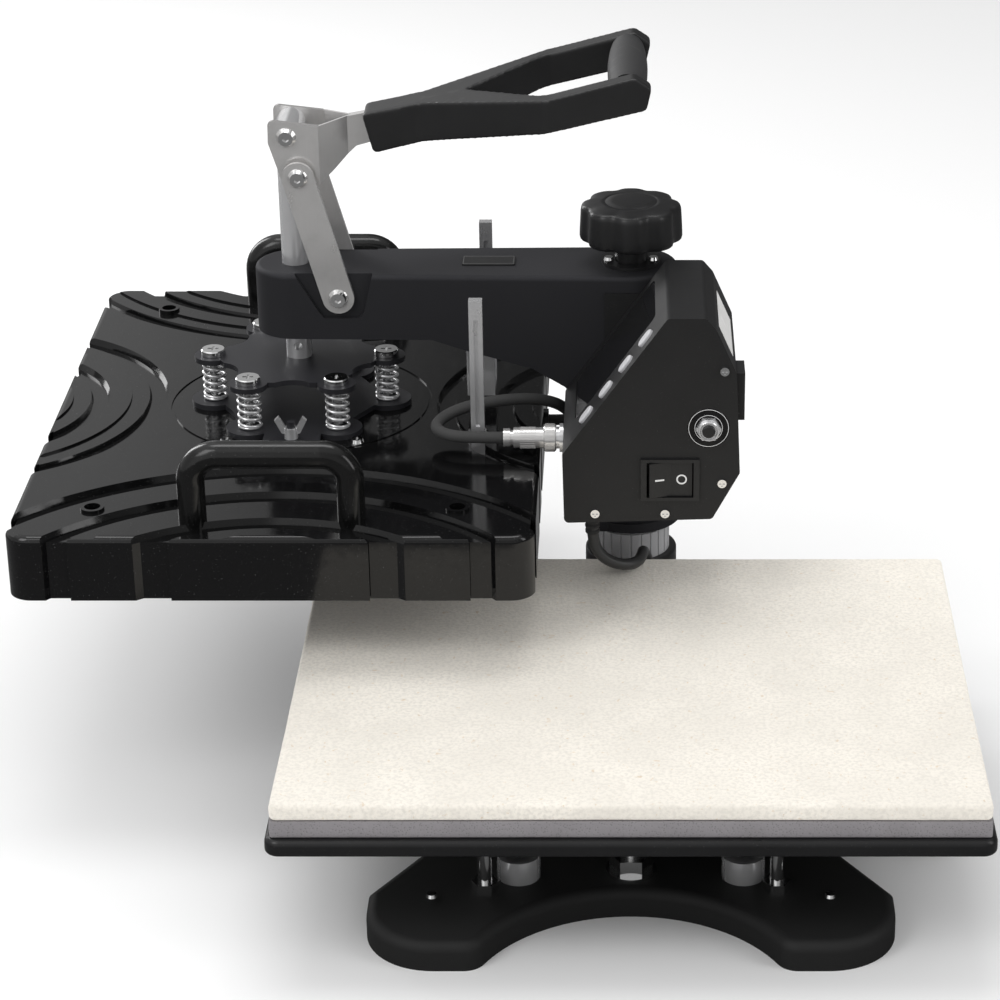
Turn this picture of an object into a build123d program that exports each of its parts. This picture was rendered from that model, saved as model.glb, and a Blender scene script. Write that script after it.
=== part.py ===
from build123d import *

import os
from math import asin, atan2, cos, degrees, hypot, pi, radians, sin, sqrt, tan

# Swing-away flat heat press, 300 x 380 mm, in millimetres.
# Origin: where the column's axis meets the table. +Z up. At rest the arm points along -X, the
# toggle is open, and the lower platen lies on the -Y side of the column.

# Reach and heights
SHAFT_X = -203.0
FOOT_RISE = 0.0
BASE_TOP = 17.0
PLATE_BOTTOM = 71.0
PLATE_TOP = 80.5
FOAM_TOP = 90.3
PAD_TOP = 100.0
HEATER_BOTTOM = 140.0
COVER_BOTTOM = 141.0
COVER_TOP = 180.0
ARM_TOP = 272.0
ARM_UNDER = 231.0

# Base casting
BASE_HALF_W = 144.0
BASE_FRONT = -358.0
BASE_REAR = 58.0
BASE_WAIST = 72.0
ARCH_R = 89.3
ARCH_DEPTH = 54.0
BASE_EDGE_R = 6.0
FOOT_R = 12.0
FOOT_SPOTS = [(x, y) for x in (-112.0, 112.0) for y in (-330.0, 26.0)]
BASE_SCREW_SPOTS = [(x, y) for x in (-109.0, 109.0) for y in (-310.0, 6.0)]

# Column and the post that turns inside it
COLUMN_R = 24.0
SOCKET_R = 28.5
SOCKET_TOP = 83.0
COLUMN_TOP = 100.0
FLUTES = 24
POST_R = 18.0
POST_BOTTOM = 20.0
POST_TOP = 240.0
RUNNING = 0.08
BOSS_BOTTOM = 104.5

# Lower platen
PLATE_Y = -205.0
PLATE_SIZE = (386.0, 308.0)
PAD_SIZE = (380.0, 300.0)
STUD_SPOTS = [(-80.0, -303.0), (80.0, -303.0), (-56.0, -108.0), (56.0, -108.0)]
STUD_R = 4.0
CUP_SPOTS = [(-62.0, -288.0), (62.0, -288.0), (-40.0, -130.0), (40.0, -130.0)]
PILLAR_R = 25.0
HUB_NUT = (0.0, -283.0)

# Arm
NOSE_R = 24.0
ARM_END_R = 28.0
ROD_R = 8.0
POCKET_FLOOR = 20.9

# Toggle: A on the rod, B between handle and links, C on the arm
PIVOT_A = (SHAFT_X, 355.5)
PIVOT_C = (-175.5, 257.0)
CRANK = 24.0
LINK_SPAN = hypot(PIVOT_A[0] - PIVOT_C[0], PIVOT_A[1] - PIVOT_C[1]) - CRANK
CRANK_ANGLE = atan2(PIVOT_C[1] - PIVOT_A[1], PIVOT_C[0] - PIVOT_A[0])
PIVOT_B = (PIVOT_A[0] + CRANK * cos(CRANK_ANGLE), PIVOT_A[1] + CRANK * sin(CRANK_ANGLE))
PIN_R = 3.0
HEAD_R = 6.0
CHEEK_IN = 14.5
CHEEK_OUT = 17.5
LINK_IN = 21.2
LINK_OUT = 24.2
LINK_R = 9.5

# Upper platen
COVER_SIZE = (298.0, 394.0)
COVER_WALL = 6.0
COVER_CORNER_R = 14.0
HEATER_SIZE = (284.0, 380.0)
HEATER_T = 14.0
ELEMENT_T = 6.0
BLANKET_TOP = 173.0
CHANNEL_W = 11.0
CHANNEL_DEPTH = 4.0
STEP_W = 21.0
STEP_DEPTH = 1.2
RING_GROOVE_R = 80.0
SIDE_GROOVE = 3.0
LONG_SIDE_ARCS = (206.0, (85.0, 121.0))
SHORT_SIDE_ARCS = (297.0, (125.6, 161.6, 197.0))
COVER_SCREW_SPOTS = [(SHAFT_X + x, y) for x in (-39.0, 39.0) for y in (-62.0, 62.0)]
VENT_SPOTS = [(SHAFT_X + x, y) for x in (-104.0, 104.0) for y in (-158.0, 158.0)]
SPIDER_T = 3.2
LOWER_SPIDER_TOP = COVER_TOP + SPIDER_T
UPPER_SPIDER_BOTTOM = 208.4
UPPER_SPIDER_TOP = UPPER_SPIDER_BOTTOM + SPIDER_T
SPRING_CIRCLE = 53.0
SPRING_R = 6.6
SPRING_WIRE_R = 0.9
SPRING_TURNS = 5
SPRING_SCREW_R = 3.0
WING_Y = -64.0
GRAB_Y = 172.0
GRAB_HALF = 45.0
GRAB_TOP = 220.0
GRAB_R = 8.0
GUIDE_SPOTS = [(-91.0, -69.0), (-91.0, 69.0)]
GUIDE_TOP = 273.5

# Control box: its side outline in X and Z, and its two faces in Y
BOX_OUTLINE = [
    (-39.8, 199.5),
    (20.9, 283.5),
    (42.7, 283.5),
    (48.7, 276.5),
    (60.4, 250.0),
    (63.0, 188.0),
    (47.2, 158.7),
    (-39.0, 156.2),
]
BOX_NEAR = -126.0
BOX_FAR = -29.0
BOX_WALL = 2.5
PANEL_T = 2.0
SLOPE_ANGLE = atan2(BOX_OUTLINE[1][1] - BOX_OUTLINE[0][1], BOX_OUTLINE[1][0] - BOX_OUTLINE[0][0])
BUTTON_Y = -114.0
BUTTON_STEPS = [24.4, 43.9, 63.4, 82.9]
PANEL_SCREW_SPOTS = [(53.5, 251.7), (52.7, 181.8), (19.8, 162.6), (-20.9, 162.6)]
ROCKER = (22.6, 184.0)
ROCKER_TILT = 7.0
BREAKER = (44.6, 216.4)
CONNECTOR_Y = -80.0
CONNECTOR_Z = 190.5

# Knob over the column
KNOB_BOTTOM = 286.6
KNOB_TOP = 311.0
KNOB_R = 31.0
KNOB_LOBES = 8

# Leads. Each free point is chosen by hand; a coil's turns are not drawn here.
CORD_R = 3.5
LEAD_R = 3.5
RELIEF_TOP = (-23.0, -84.0, 156.4)
RELIEF_LENGTH = 26.0
CORD_SPLIT = (4.0, -76.0, 108.8)
CORD_UPPER = [
    (-23.0, -84.0, 130.4),
    (-23.0, -84.0, 121.0),
    (-16.0, -84.5, 112.0),
    (-5.0, -82.0, 108.8),
    CORD_SPLIT,
]
CORD_LOWER = [
    CORD_SPLIT,
    (11.5, -71.0, 108.8),
    (14.5, -58.0, 108.0),
    (15.0, -45.5, 100.5),
    (16.0, -38.5, 85.0),
    (17.0, -38.0, 66.0),
    (21.0, -42.0, 48.0),
    (31.0, -49.0, 33.0),
    (46.0, -57.5, 23.5),
    (64.0, -65.0, 21.4),
    (82.0, -74.0, 21.8),
    (99.0, -81.0, 19.5),
    (112.0, -83.0, 10.0),
    (121.0, -86.5, 4.7),
    (127.0, -96.0, 4.0),
]
COIL_CENTRE = (128.0, -152.0)
COIL_IN = 29.5
COIL_OUT = 54.0
COIL_TALL = 14.5
PLUG_X = 178.0
PLUG_Z = 12.0
PLUG_Y = -178.0
HEATER_LEAD = [
    (-75.5, CONNECTOR_Y, CONNECTOR_Z),
    (-92.0, CONNECTOR_Y, CONNECTOR_Z),
    (-109.0, -77.0, 190.4),
    (-118.0, -65.0, 190.8),
    (-111.0, -52.0, 193.5),
    (-95.0, -46.0, 197.5),
    (-77.0, -42.5, 199.0),
    (-60.0, -35.0, 197.0),
    (-46.0, -22.0, 189.0),
    (-38.5, -7.0, 177.0),
    (-34.5, 8.0, 166.0),
    (-38.0, 18.5, 160.0),
    (-51.5, 18.5, 160.0),
]
GLAND = (-54.0, 18.5, 160.0)


def save(builder, name):
    """Label a finished sub-part and write its STEP file."""
    builder.part.label = name
    export_step(builder.part, "parts/" + name + ".step")


def block(low, high, mode=Mode.ADD):
    """A box between two corners, inside the current part block."""
    middle = [(a + b) / 2 for a, b in zip(low, high)]
    with Locations(tuple(middle)):
        Box(*[b - a for a, b in zip(low, high)], mode=mode)


def rod_up(spots, radius, bottom, top, mode=Mode.ADD):
    """Upright cylinders between two heights, one at each (x, y) spot."""
    with Locations(*[(x, y, bottom) for x, y in spots]):
        Cylinder(radius, top - bottom, align=(Align.CENTER, Align.CENTER, Align.MIN), mode=mode)


def rod_across(spot, radius, y_from, y_to, mode=Mode.ADD):
    """A cylinder along Y at an (x, z) spot."""
    middle = (spot[0], (y_from + y_to) / 2, spot[1])
    with Locations(Location(middle, (90, 0, 0))):
        Cylinder(radius, abs(y_to - y_from), mode=mode)


def rod_along(spot, radius, x_from, x_to, mode=Mode.ADD):
    """A cylinder along X at a (y, z) spot."""
    middle = ((x_from + x_to) / 2, spot[0], spot[1])
    with Locations(Location(middle, (0, 90, 0))):
        Cylinder(radius, abs(x_to - x_from), mode=mode)


def side_prism(points, y_from, y_to, corner=0.0, mode=Mode.ADD):
    """An outline in X and Z, drawn out between two Y values."""
    with BuildSketch(Plane.XZ.offset(-y_to)) as outline:
        with BuildLine():
            Polyline(*points, close=True)
        make_face()
        if corner:
            fillet(outline.vertices(), corner)
    extrude(outline.sketch, amount=y_to - y_from, mode=mode)


def pan_head(spots, z, radius, height):
    """Low round screw heads standing on a surface."""
    with BuildSketch(Plane.XY.offset(z)) as heads:
        with Locations(*spots):
            Circle(radius)
    extrude(heads.sketch, amount=height, taper=18)


def cord_tube(points, radius, name):
    """A round tube on straight runs joined by tangent arcs. Prints its tightest radius."""
    knots = [Vector(*p) for p in points]
    runs = [knots[i + 1] - knots[i] for i in range(len(knots) - 1)]
    bends = []
    for before, after in zip(runs, runs[1:]):
        turn = radians(before.get_angle(after))
        bends.append(0.45 * min(before.length, after.length) / tan(turn / 2))
    with BuildPart() as tube:
        with BuildLine() as route:
            FilletPolyline(*points, radius=bends)
        with BuildSketch(Plane(origin=points[0], z_dir=runs[0].normalized())):
            Circle(radius)
        sweep(path=route.line)
    length = sum(edge.length for edge in route.edges())
    print(name, "length", round(length, 1), "tightest", round(min(bends), 1),
          "volume ratio", round(tube.part.volume / (pi * radius**2 * length), 4))
    return tube


def base_outline():
    """The hourglass plan of the base with its hollow front edge."""
    shoulder = 53.0
    corners = [
        (BASE_HALF_W, BASE_FRONT),
        (BASE_HALF_W, BASE_FRONT + shoulder),
        (BASE_WAIST, -190.0),
        (BASE_WAIST, -110.0),
        (BASE_HALF_W, BASE_REAR - shoulder),
        (BASE_HALF_W, BASE_REAR),
    ]
    mirrored = [(-x, y) for x, y in reversed(corners)]
    with BuildSketch(Plane.XY.offset(FOOT_RISE)) as plan:
        with BuildLine():
            Polyline(*corners, *mirrored, close=True)
        make_face()
        ends = plan.vertices().filter_by(lambda v: v.Y < BASE_FRONT + 1 or v.Y > BASE_REAR - 1)
        fillet(ends, 38)
        waists = plan.vertices().filter_by(lambda v: abs(abs(v.X) - BASE_WAIST) < 0.5)
        fillet(waists, 35)
        with Locations((0, BASE_FRONT + ARCH_DEPTH - ARCH_R)):
            Circle(ARCH_R, mode=Mode.SUBTRACT)
        horns = plan.vertices().filter_by(lambda v: v.Y < BASE_FRONT + 1 and abs(v.X) < 90)
        fillet(horns, 12)
    return plan


def make_base():
    """Base casting, its feet and its screws."""
    plan = base_outline()
    with BuildPart() as casting:
        add(plan.sketch)
        extrude(amount=BASE_TOP - FOOT_RISE)
        fillet(casting.faces().sort_by(Axis.Z)[-1].edges(), BASE_EDGE_R)
        rod_up(FOOT_SPOTS, FOOT_R, FOOT_RISE, FOOT_RISE + 1.5, Mode.SUBTRACT)
        rod_up(BASE_SCREW_SPOTS, 1.5, BASE_TOP - 6, BASE_TOP, Mode.SUBTRACT)
        rod_up(STUD_SPOTS, STUD_R, BASE_TOP - 8, BASE_TOP, Mode.SUBTRACT)
    save(casting, "base_casting")
    with BuildPart() as feet:
        rod_up(FOOT_SPOTS, FOOT_R, 0, FOOT_RISE + 1.5)
    save(feet, "base_feet")
    with BuildPart() as screws:
        rod_up(BASE_SCREW_SPOTS, 1.5, BASE_TOP - 6, BASE_TOP)
        pan_head(BASE_SCREW_SPOTS, BASE_TOP, 3.2, 1.8)
    save(screws, "base_screws")


def make_column():
    """The fixed socket and fluted tube, and the post that turns inside the tube."""
    with BuildPart() as socket:
        rod_up([(0, 0)], SOCKET_R, BASE_TOP, SOCKET_TOP)
        rod_up([(0, 0)], COLUMN_R, BASE_TOP, SOCKET_TOP, Mode.SUBTRACT)
        fillet(socket.faces().sort_by(Axis.Z)[-1].edges().sort_by(SortBy.RADIUS)[-1], 1.5)
    save(socket, "column_socket")
    with BuildPart() as tube:
        rod_up([(0, 0)], COLUMN_R, BASE_TOP, COLUMN_TOP)
        rod_up([(0, 0)], POST_R + RUNNING, BASE_TOP, COLUMN_TOP, Mode.SUBTRACT)
        with BuildSketch(Plane.XY.offset(SOCKET_TOP)):
            with PolarLocations(COLUMN_R, FLUTES):
                Circle(0.7)
        extrude(amount=COLUMN_TOP - SOCKET_TOP, mode=Mode.SUBTRACT)
    save(tube, "column_tube")
    with BuildPart() as post:
        rod_up([(0, 0)], POST_R, POST_BOTTOM, POST_TOP)
        rod_up([(0, 0)], 23.0, COLUMN_TOP + 0.3, BOSS_BOTTOM - 1.2)
        rod_up([(0, 0)], 6.0 + RUNNING, 170, POST_TOP, Mode.SUBTRACT)
        chamfer(post.faces().sort_by(Axis.Z)[0].edges(), 1.0)
    save(post, "swivel_post")


def make_lower_platen():
    """Lower plate on four studs, with the silicone foam and the felt pad on it."""
    with BuildPart() as plate:
        with BuildSketch(Plane.XY.offset(PLATE_BOTTOM)):
            with Locations((0, PLATE_Y)):
                RectangleRounded(*PLATE_SIZE, 8)
        extrude(amount=PLATE_TOP - PLATE_BOTTOM)
        fillet(plate.faces().sort_by(Axis.Z)[-1].edges(), 3.5)
        fillet(plate.faces().sort_by(Axis.Z)[0].edges(), 2.0)
        rod_up(STUD_SPOTS, STUD_R, PLATE_BOTTOM, PLATE_BOTTOM + 6, Mode.SUBTRACT)
    save(plate, "lower_plate")
    for name, low, high in (("foam_pad", PLATE_TOP, FOAM_TOP), ("felt_pad", FOAM_TOP, PAD_TOP)):
        with BuildPart() as pad:
            with BuildSketch(Plane.XY.offset(low)):
                with Locations((0, PLATE_Y)):
                    RectangleRounded(*PAD_SIZE, 2)
            extrude(amount=high - low)
        save(pad, name)
    with BuildPart() as studs:
        rod_up(STUD_SPOTS, STUD_R, BASE_TOP - 8, PLATE_BOTTOM + 6)
        for bottom in (BASE_TOP, PLATE_BOTTOM - 6):
            with BuildSketch(Plane.XY.offset(bottom)):
                with Locations(*STUD_SPOTS):
                    RegularPolygon(7.5, 6)
            extrude(amount=6)
    save(studs, "level_studs")
    with BuildPart() as pillar:
        rod_up([(0, PLATE_Y)], PILLAR_R, BASE_TOP, PLATE_BOTTOM)
        rod_up([(0, PLATE_Y)], PILLAR_R + 8, PLATE_BOTTOM - 6, PLATE_BOTTOM)
    save(pillar, "platen_pillar")
    with BuildPart() as hub:
        rod_up([HUB_NUT], 14.0, BASE_TOP, BASE_TOP + 2)
        with BuildSketch(Plane.XY.offset(BASE_TOP + 2)):
            with Locations(HUB_NUT):
                RegularPolygon(12.0, 6)
        extrude(amount=9)
        rod_up([HUB_NUT], 6.0, BASE_TOP + 11, BASE_TOP + 15)
    save(hub, "hub_nut")
    with BuildPart() as cups:
        rod_up(CUP_SPOTS, 12.0, BASE_TOP, BASE_TOP + 14)
        rod_up(CUP_SPOTS, 9.5, BASE_TOP + 11, BASE_TOP + 14, Mode.SUBTRACT)
    save(cups, "bumper_cups")


def make_arm():
    """Arm casting with the boss that slides on the post, its badge and its lead bracket."""
    profile = [
        (SHAFT_X - NOSE_R, ARM_TOP),
        (SHAFT_X - NOSE_R, ARM_UNDER),
        (-120.0, ARM_UNDER),
        (-98.7, 224.0),
        (-60.0, 213.0),
        (-40.0, 201.0),
        (-ARM_END_R, 186.0),
        (-ARM_END_R, BOSS_BOTTOM),
        (ARM_END_R, BOSS_BOTTOM),
        (ARM_END_R, ARM_TOP),
    ]
    pocket = [
        (-202.0, ARM_TOP + 1),
        (-188.5, 250.0),
        (-184.5, 244.5),
        (-163.5, 244.5),
        (-160.5, 247.5),
        (-154.5, ARM_TOP + 1),
    ]
    with BuildPart() as arm:
        with BuildSketch(Plane.XY.offset(BOSS_BOTTOM)):
            with Locations((SHAFT_X, 0)):
                Circle(NOSE_R)
            Circle(ARM_END_R)
            make_hull()
        extrude(amount=ARM_TOP - BOSS_BOTTOM)
        side_prism(profile, -40, 40, mode=Mode.INTERSECT)
        fillet(arm.faces().sort_by(Axis.Z)[-1].edges(), 3.0)
        rod_up([(0, 0)], 31.0, BOSS_BOTTOM, BOSS_BOTTOM + 6)
        for y_from, y_to in ((-40, -POCKET_FLOOR), (POCKET_FLOOR, 40)):
            side_prism(pocket, y_from, y_to, mode=Mode.SUBTRACT)
        rod_up([(SHAFT_X, 0)], ROD_R + RUNNING, ARM_UNDER - 1, ARM_TOP + 1, Mode.SUBTRACT)
        rod_up([(0, 0)], POST_R + RUNNING, BOSS_BOTTOM - 1, POST_TOP + 14, Mode.SUBTRACT)
        rod_up([(0, 0)], 6.0 + RUNNING, POST_TOP, ARM_TOP + 1, Mode.SUBTRACT)
        rod_across(PIVOT_C, PIN_R, -POCKET_FLOOR - 1, POCKET_FLOOR + 1, Mode.SUBTRACT)
        block((-102, -7.5, ARM_TOP - 0.8), (-70, 7.5, ARM_TOP + 1), Mode.SUBTRACT)
    save(arm, "arm_casting")
    with BuildPart() as badge:
        with BuildSketch(Plane.XY.offset(ARM_TOP - 0.8)):
            with Locations((-86, 0)):
                RectangleRounded(32, 15, 2)
        extrude(amount=1.6)
    save(badge, "arm_badge")
    with BuildPart() as screws:
        rod_across(PIVOT_C, PIN_R, -LINK_OUT - 0.2, LINK_OUT + 0.2)
        for side in (-1, 1):
            button_head(PIVOT_C, side, LINK_OUT + 0.2)
    save(screws, "arm_pivot_screws")
    with BuildPart() as bracket:
        block((-100, -14, 190), (-83, -11.5, 226))
        block((-100, 11.5, 190), (-83, 14, 226))
        block((-100, -14, 190), (-83, 14, 192.5))
        add(arm.part, mode=Mode.SUBTRACT)
        fillet(bracket.edges().filter_by(Axis.Z).group_by(Axis.X)[0], 0.8)
    save(bracket, "guide_bracket")
    return arm


def button_head(spot, side, seat):
    """A domed socket screw head on the outside of a link, at an (x, z) spot."""
    with BuildSketch(Plane(origin=(spot[0], side * seat, spot[1]), z_dir=(0, side, 0))) as head:
        Circle(HEAD_R)
    extrude(head.sketch, amount=3.2, taper=28)
    with BuildSketch(Plane(origin=(spot[0], side * (seat + 3.2), spot[1]), z_dir=(0, side, 0))) as key:
        RegularPolygon(2.1, 6)
    extrude(key.sketch, amount=-1.8, mode=Mode.SUBTRACT)


def make_knob():
    """Pressure knob with its screw, and the collar that holds it on the arm."""
    with BuildPart() as collar:
        rod_up([(0, 0)], 18.0, ARM_TOP, ARM_TOP + 2)
        rod_up([(0, 0)], 10.0, ARM_TOP + 2, KNOB_BOTTOM - 0.4)
        rod_up([(0, 0)], 6.0 + RUNNING, ARM_TOP, KNOB_BOTTOM, Mode.SUBTRACT)
    save(collar, "knob_collar")
    with BuildPart() as knob:
        with BuildSketch(Plane.XZ):
            with BuildLine():
                Polyline((0, KNOB_BOTTOM + 4), (21, KNOB_BOTTOM + 4), (24, KNOB_BOTTOM), (29, KNOB_BOTTOM))
                Polyline((29, KNOB_BOTTOM), (KNOB_R, KNOB_BOTTOM + 2.5), (30, KNOB_TOP - 5))
                ThreePointArc((30, KNOB_TOP - 5), (29.2, KNOB_TOP - 2.6), (26.5, KNOB_TOP - 1.6))
                Spline((26.5, KNOB_TOP - 1.6), (13.4, KNOB_TOP - 0.4), (0, KNOB_TOP),
                       tangents=[(-1, 0.12), (-1, 0)])
                Line((0, KNOB_TOP), (0, KNOB_BOTTOM + 4))
            make_face()
        revolve(axis=Axis.Z)
        with BuildSketch(Plane.XY.offset(KNOB_BOTTOM - 1)):
            with PolarLocations(KNOB_R + 7.0, KNOB_LOBES):
                Circle(10.0)
        extrude(amount=KNOB_TOP - KNOB_BOTTOM, taper=-8, mode=Mode.SUBTRACT)
        rod_up([(0, 0)], 6.0, KNOB_BOTTOM, KNOB_TOP - 7, Mode.SUBTRACT)
    save(knob, "knob")
    with BuildPart() as screw:
        rod_up([(0, 0)], 6.0, 182, KNOB_TOP - 7)
    save(screw, "knob_screw")


def make_toggle():
    """Links, handle bracket, fork, grip and their screws."""
    lean = degrees(atan2(PIVOT_B[1] - PIVOT_C[1], PIVOT_B[0] - PIVOT_C[0]))
    middle = ((PIVOT_B[0] + PIVOT_C[0]) / 2, (PIVOT_B[1] + PIVOT_C[1]) / 2)
    with BuildPart() as links:
        for y_face in (-LINK_IN, LINK_OUT):
            with BuildSketch(Plane.XZ.offset(-y_face)):
                with Locations(Location((middle[0], middle[1], 0), lean)):
                    SlotCenterToCenter(LINK_SPAN, 2 * LINK_R)
            extrude(amount=LINK_OUT - LINK_IN)
        rod_across(PIVOT_C, PIN_R + RUNNING, -LINK_OUT - 1, LINK_OUT + 1, Mode.SUBTRACT)
        rod_across(PIVOT_B, PIN_R, -LINK_OUT - 1, LINK_OUT + 1, Mode.SUBTRACT)
    save(links, "toggle_links")
    with BuildPart() as link_screws:
        for side in (-1, 1):
            rod_across(PIVOT_B, PIN_R, side * LINK_IN, side * LINK_OUT)
            button_head(PIVOT_B, side, LINK_OUT)
    save(link_screws, "link_screws")
    outline = [
        (-213.5, 366.0),
        (-183.5, 362.5),
        (-166.0, 364.6),
        (-122.0, 373.0),
        (-126.0, 356.5),
        (-163.0, 346.0),
        (-175.5, 334.0),
        (-187.5, 324.0),
        (-197.0, 322.0),
        (-207.0, 330.0),
        (-213.8, 352.0),
    ]
    with BuildPart() as bracket:
        with BuildSketch(Plane.XY.offset(310)):
            for side in (-1, 1):
                with BuildLine():
                    Polyline((-216, side * CHEEK_IN), (-183, side * CHEEK_IN), (-167, 0), (-120, 0),
                             (-120, side * 3), (-168, side * 3), (-184, side * CHEEK_OUT),
                             (-216, side * CHEEK_OUT), close=True)
                make_face()
        extrude(amount=70)
        side_prism(outline, -30, 30, corner=3.0, mode=Mode.INTERSECT)
        for side in (-1, 1):
            rod_across(PIVOT_B, 6.0, side * CHEEK_OUT, side * (LINK_IN - 0.3))
            rod_across(PIVOT_A, PIN_R, side * CHEEK_IN, side * CHEEK_OUT, Mode.SUBTRACT)
    save(bracket, "handle_bracket")
    with BuildPart() as pivot:
        rod_across(PIVOT_A, PIN_R, -CHEEK_OUT, CHEEK_OUT)
        for side in (-1, 1):
            button_head(PIVOT_A, side, CHEEK_OUT)
    save(pivot, "bracket_screws")
    make_fork(bracket)


def make_fork(bracket):
    """The plastic fork on the bracket's tang, and the barrel grip across its end."""
    side_view = [
        (-158.8, 368.0),
        (-126.9, 374.6),
        (-45.7, 390.0),
        (2.0, 402.5),
        (12.0, 396.0),
        (9.0, 383.0),
        (-44.8, 370.0),
        (-113.4, 353.7),
        (-152.4, 343.5),
    ]
    with BuildPart() as fork:
        with BuildSketch(Plane.XY.offset(330)) as plan:
            with BuildLine():
                Polyline((-162, -11), (-124, -12), (-50, -54), (14, -54), (14, 54), (-50, 54), (-124, 12),
                         (-162, 11), close=True)
            make_face()
            with BuildLine():
                Polyline((-97, 0), (-52, -41.5), (15, -41.5), (15, 41.5), (-52, 41.5), close=True)
            make_face(mode=Mode.SUBTRACT)
            bends = plan.vertices().filter_by(lambda v: -125 < v.X < -49 and abs(v.Y) > 5)
            fillet(bends, 12)
            fillet(plan.vertices().filter_by(lambda v: abs(v.Y) < 1 and v.X < -90), 3)
        extrude(amount=90)
        side_prism(side_view, -60, 60, corner=3.0, mode=Mode.INTERSECT)
        add(bracket.part, mode=Mode.SUBTRACT)
    save(fork, "handle_fork")
    with BuildPart() as grip:
        with BuildSketch(Plane.XY.offset(391.5)):
            with BuildLine():
                Line((-2, -41.5), (8, -41.5))
                ThreePointArc((8, -41.5), (9.8, 0), (8, 41.5))
                Line((8, 41.5), (-2, 41.5))
                Line((-2, 41.5), (-2, -41.5))
            make_face()
        revolve(axis=Axis((-2, 0, 391.5), (0, 1, 0)))
    save(grip, "handle_grip")


def spider_plan(lobe_r, waist_r, waist_out, ears):
    """Six lobes on the spring circle, hollowed between the lobes except where an ear stands."""
    with Locations((SHAFT_X, 0)):
        RegularPolygon(SPRING_CIRCLE, 6)
        with PolarLocations(SPRING_CIRCLE, 6):
            Circle(lobe_r)
        for turn in (30, 90, 150, 210, 270, 330):
            spot = (SHAFT_X + waist_out * cos(radians(turn)), waist_out * sin(radians(turn)))
            if ears and turn in (90, 270):
                continue
            with Locations((spot[0] - SHAFT_X, spot[1])):
                Circle(waist_r, mode=Mode.SUBTRACT)


def spring_spots():
    """Centres of the six springs."""
    turns = [radians(60 * i) for i in range(6)]
    return [(SHAFT_X + SPRING_CIRCLE * cos(t), SPRING_CIRCLE * sin(t)) for t in turns]


def make_shaft():
    """Press rod with its crosshead, and the upper spider plate on its foot."""
    with BuildPart() as rod:
        rod_up([(SHAFT_X, 0)], ROD_R, UPPER_SPIDER_TOP, PIVOT_A[1])
        rod_across(PIVOT_A, 9.0, -CHEEK_IN + 0.3, CHEEK_IN - 0.3)
        rod_across(PIVOT_A, PIN_R + RUNNING, -20, 20, Mode.SUBTRACT)
        rod_across((SHAFT_X, 220.0), 2.6, -20, 20, Mode.SUBTRACT)
    save(rod, "press_rod")
    with BuildPart() as upper:
        with BuildSketch(Plane.XY.offset(UPPER_SPIDER_BOTTOM)):
            spider_plan(11.5, 15.0, 57.0, False)
        extrude(amount=SPIDER_T)
        rod_up(spring_spots(), SPRING_SCREW_R + 0.3, UPPER_SPIDER_BOTTOM, UPPER_SPIDER_TOP, Mode.SUBTRACT)
    save(upper, "upper_spider")


def channel_rings(bottom, taper, width):
    """The concentric ribs of the cover as cutting rings of a width, standing on a height."""
    far, radii = SHORT_SIDE_ARCS
    centres = [((SHAFT_X, -far), radii), ((SHAFT_X, far), radii)]
    wide, radii = LONG_SIDE_ARCS
    centres += [((SHAFT_X - wide, 0), radii), ((SHAFT_X + wide, 0), radii)]
    with BuildPart() as rings:
        for centre, sizes in centres:
            for size in sizes:
                with BuildSketch(Plane.XY.offset(bottom)):
                    with Locations(centre):
                        Circle(size)
                        Circle(size - width + 2 * taper, mode=Mode.SUBTRACT)
                extrude(amount=COVER_TOP + 1 - bottom, taper=-20 * taper)
    return rings.part


def make_cover():
    """The cover over the heater: an open-bottomed shell with arcs of stepped ribs."""
    with BuildPart(mode=Mode.PRIVATE) as skin:
        block((SHAFT_X - 160, -210, COVER_BOTTOM - 1), (SHAFT_X + 160, 210, COVER_TOP + 2))
        inset = [s / 2 - SIDE_GROOVE for s in COVER_SIZE]
        block((SHAFT_X - inset[0], -inset[1], COVER_BOTTOM - 2), (SHAFT_X + inset[0], inset[1], COVER_TOP + 3),
              Mode.SUBTRACT)
        add(channel_rings(COVER_BOTTOM - 1, 0, CHANNEL_W), mode=Mode.INTERSECT)
    with BuildPart() as cover:
        with BuildSketch(Plane.XY.offset(COVER_BOTTOM)):
            with Locations((SHAFT_X, 0)):
                RectangleRounded(*COVER_SIZE, COVER_CORNER_R)
        extrude(amount=COVER_TOP - COVER_BOTTOM)
        fillet(cover.faces().sort_by(Axis.Z)[-1].edges(), 4.0)
        add(channel_rings(COVER_TOP - CHANNEL_DEPTH, 1, CHANNEL_W), mode=Mode.SUBTRACT)
        add(channel_rings(COVER_TOP - STEP_DEPTH, 0, STEP_W), mode=Mode.SUBTRACT)
        with BuildSketch(Plane.XY.offset(COVER_TOP - 0.8)):
            with Locations((SHAFT_X, 0)):
                Circle(RING_GROOVE_R)
                Circle(RING_GROOVE_R - 1.8, mode=Mode.SUBTRACT)
        extrude(amount=2, mode=Mode.SUBTRACT)
        add(skin.part, mode=Mode.SUBTRACT)
        rod_up(VENT_SPOTS, 6.8, COVER_TOP - 6, COVER_TOP + 1.6)
        hollow = [s / 2 - COVER_WALL for s in COVER_SIZE]
        block((SHAFT_X - hollow[0], -hollow[1], COVER_BOTTOM - 1), (SHAFT_X + hollow[0], hollow[1], BLANKET_TOP),
              Mode.SUBTRACT)
        rod_up(VENT_SPOTS, 4.6, COVER_BOTTOM, COVER_TOP + 5, Mode.SUBTRACT)
        rod_along((GLAND[1], GLAND[2]), 5.0, SHAFT_X + hollow[0] - 1, SHAFT_X + 160, Mode.SUBTRACT)
    save(cover, "platen_cover")


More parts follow.
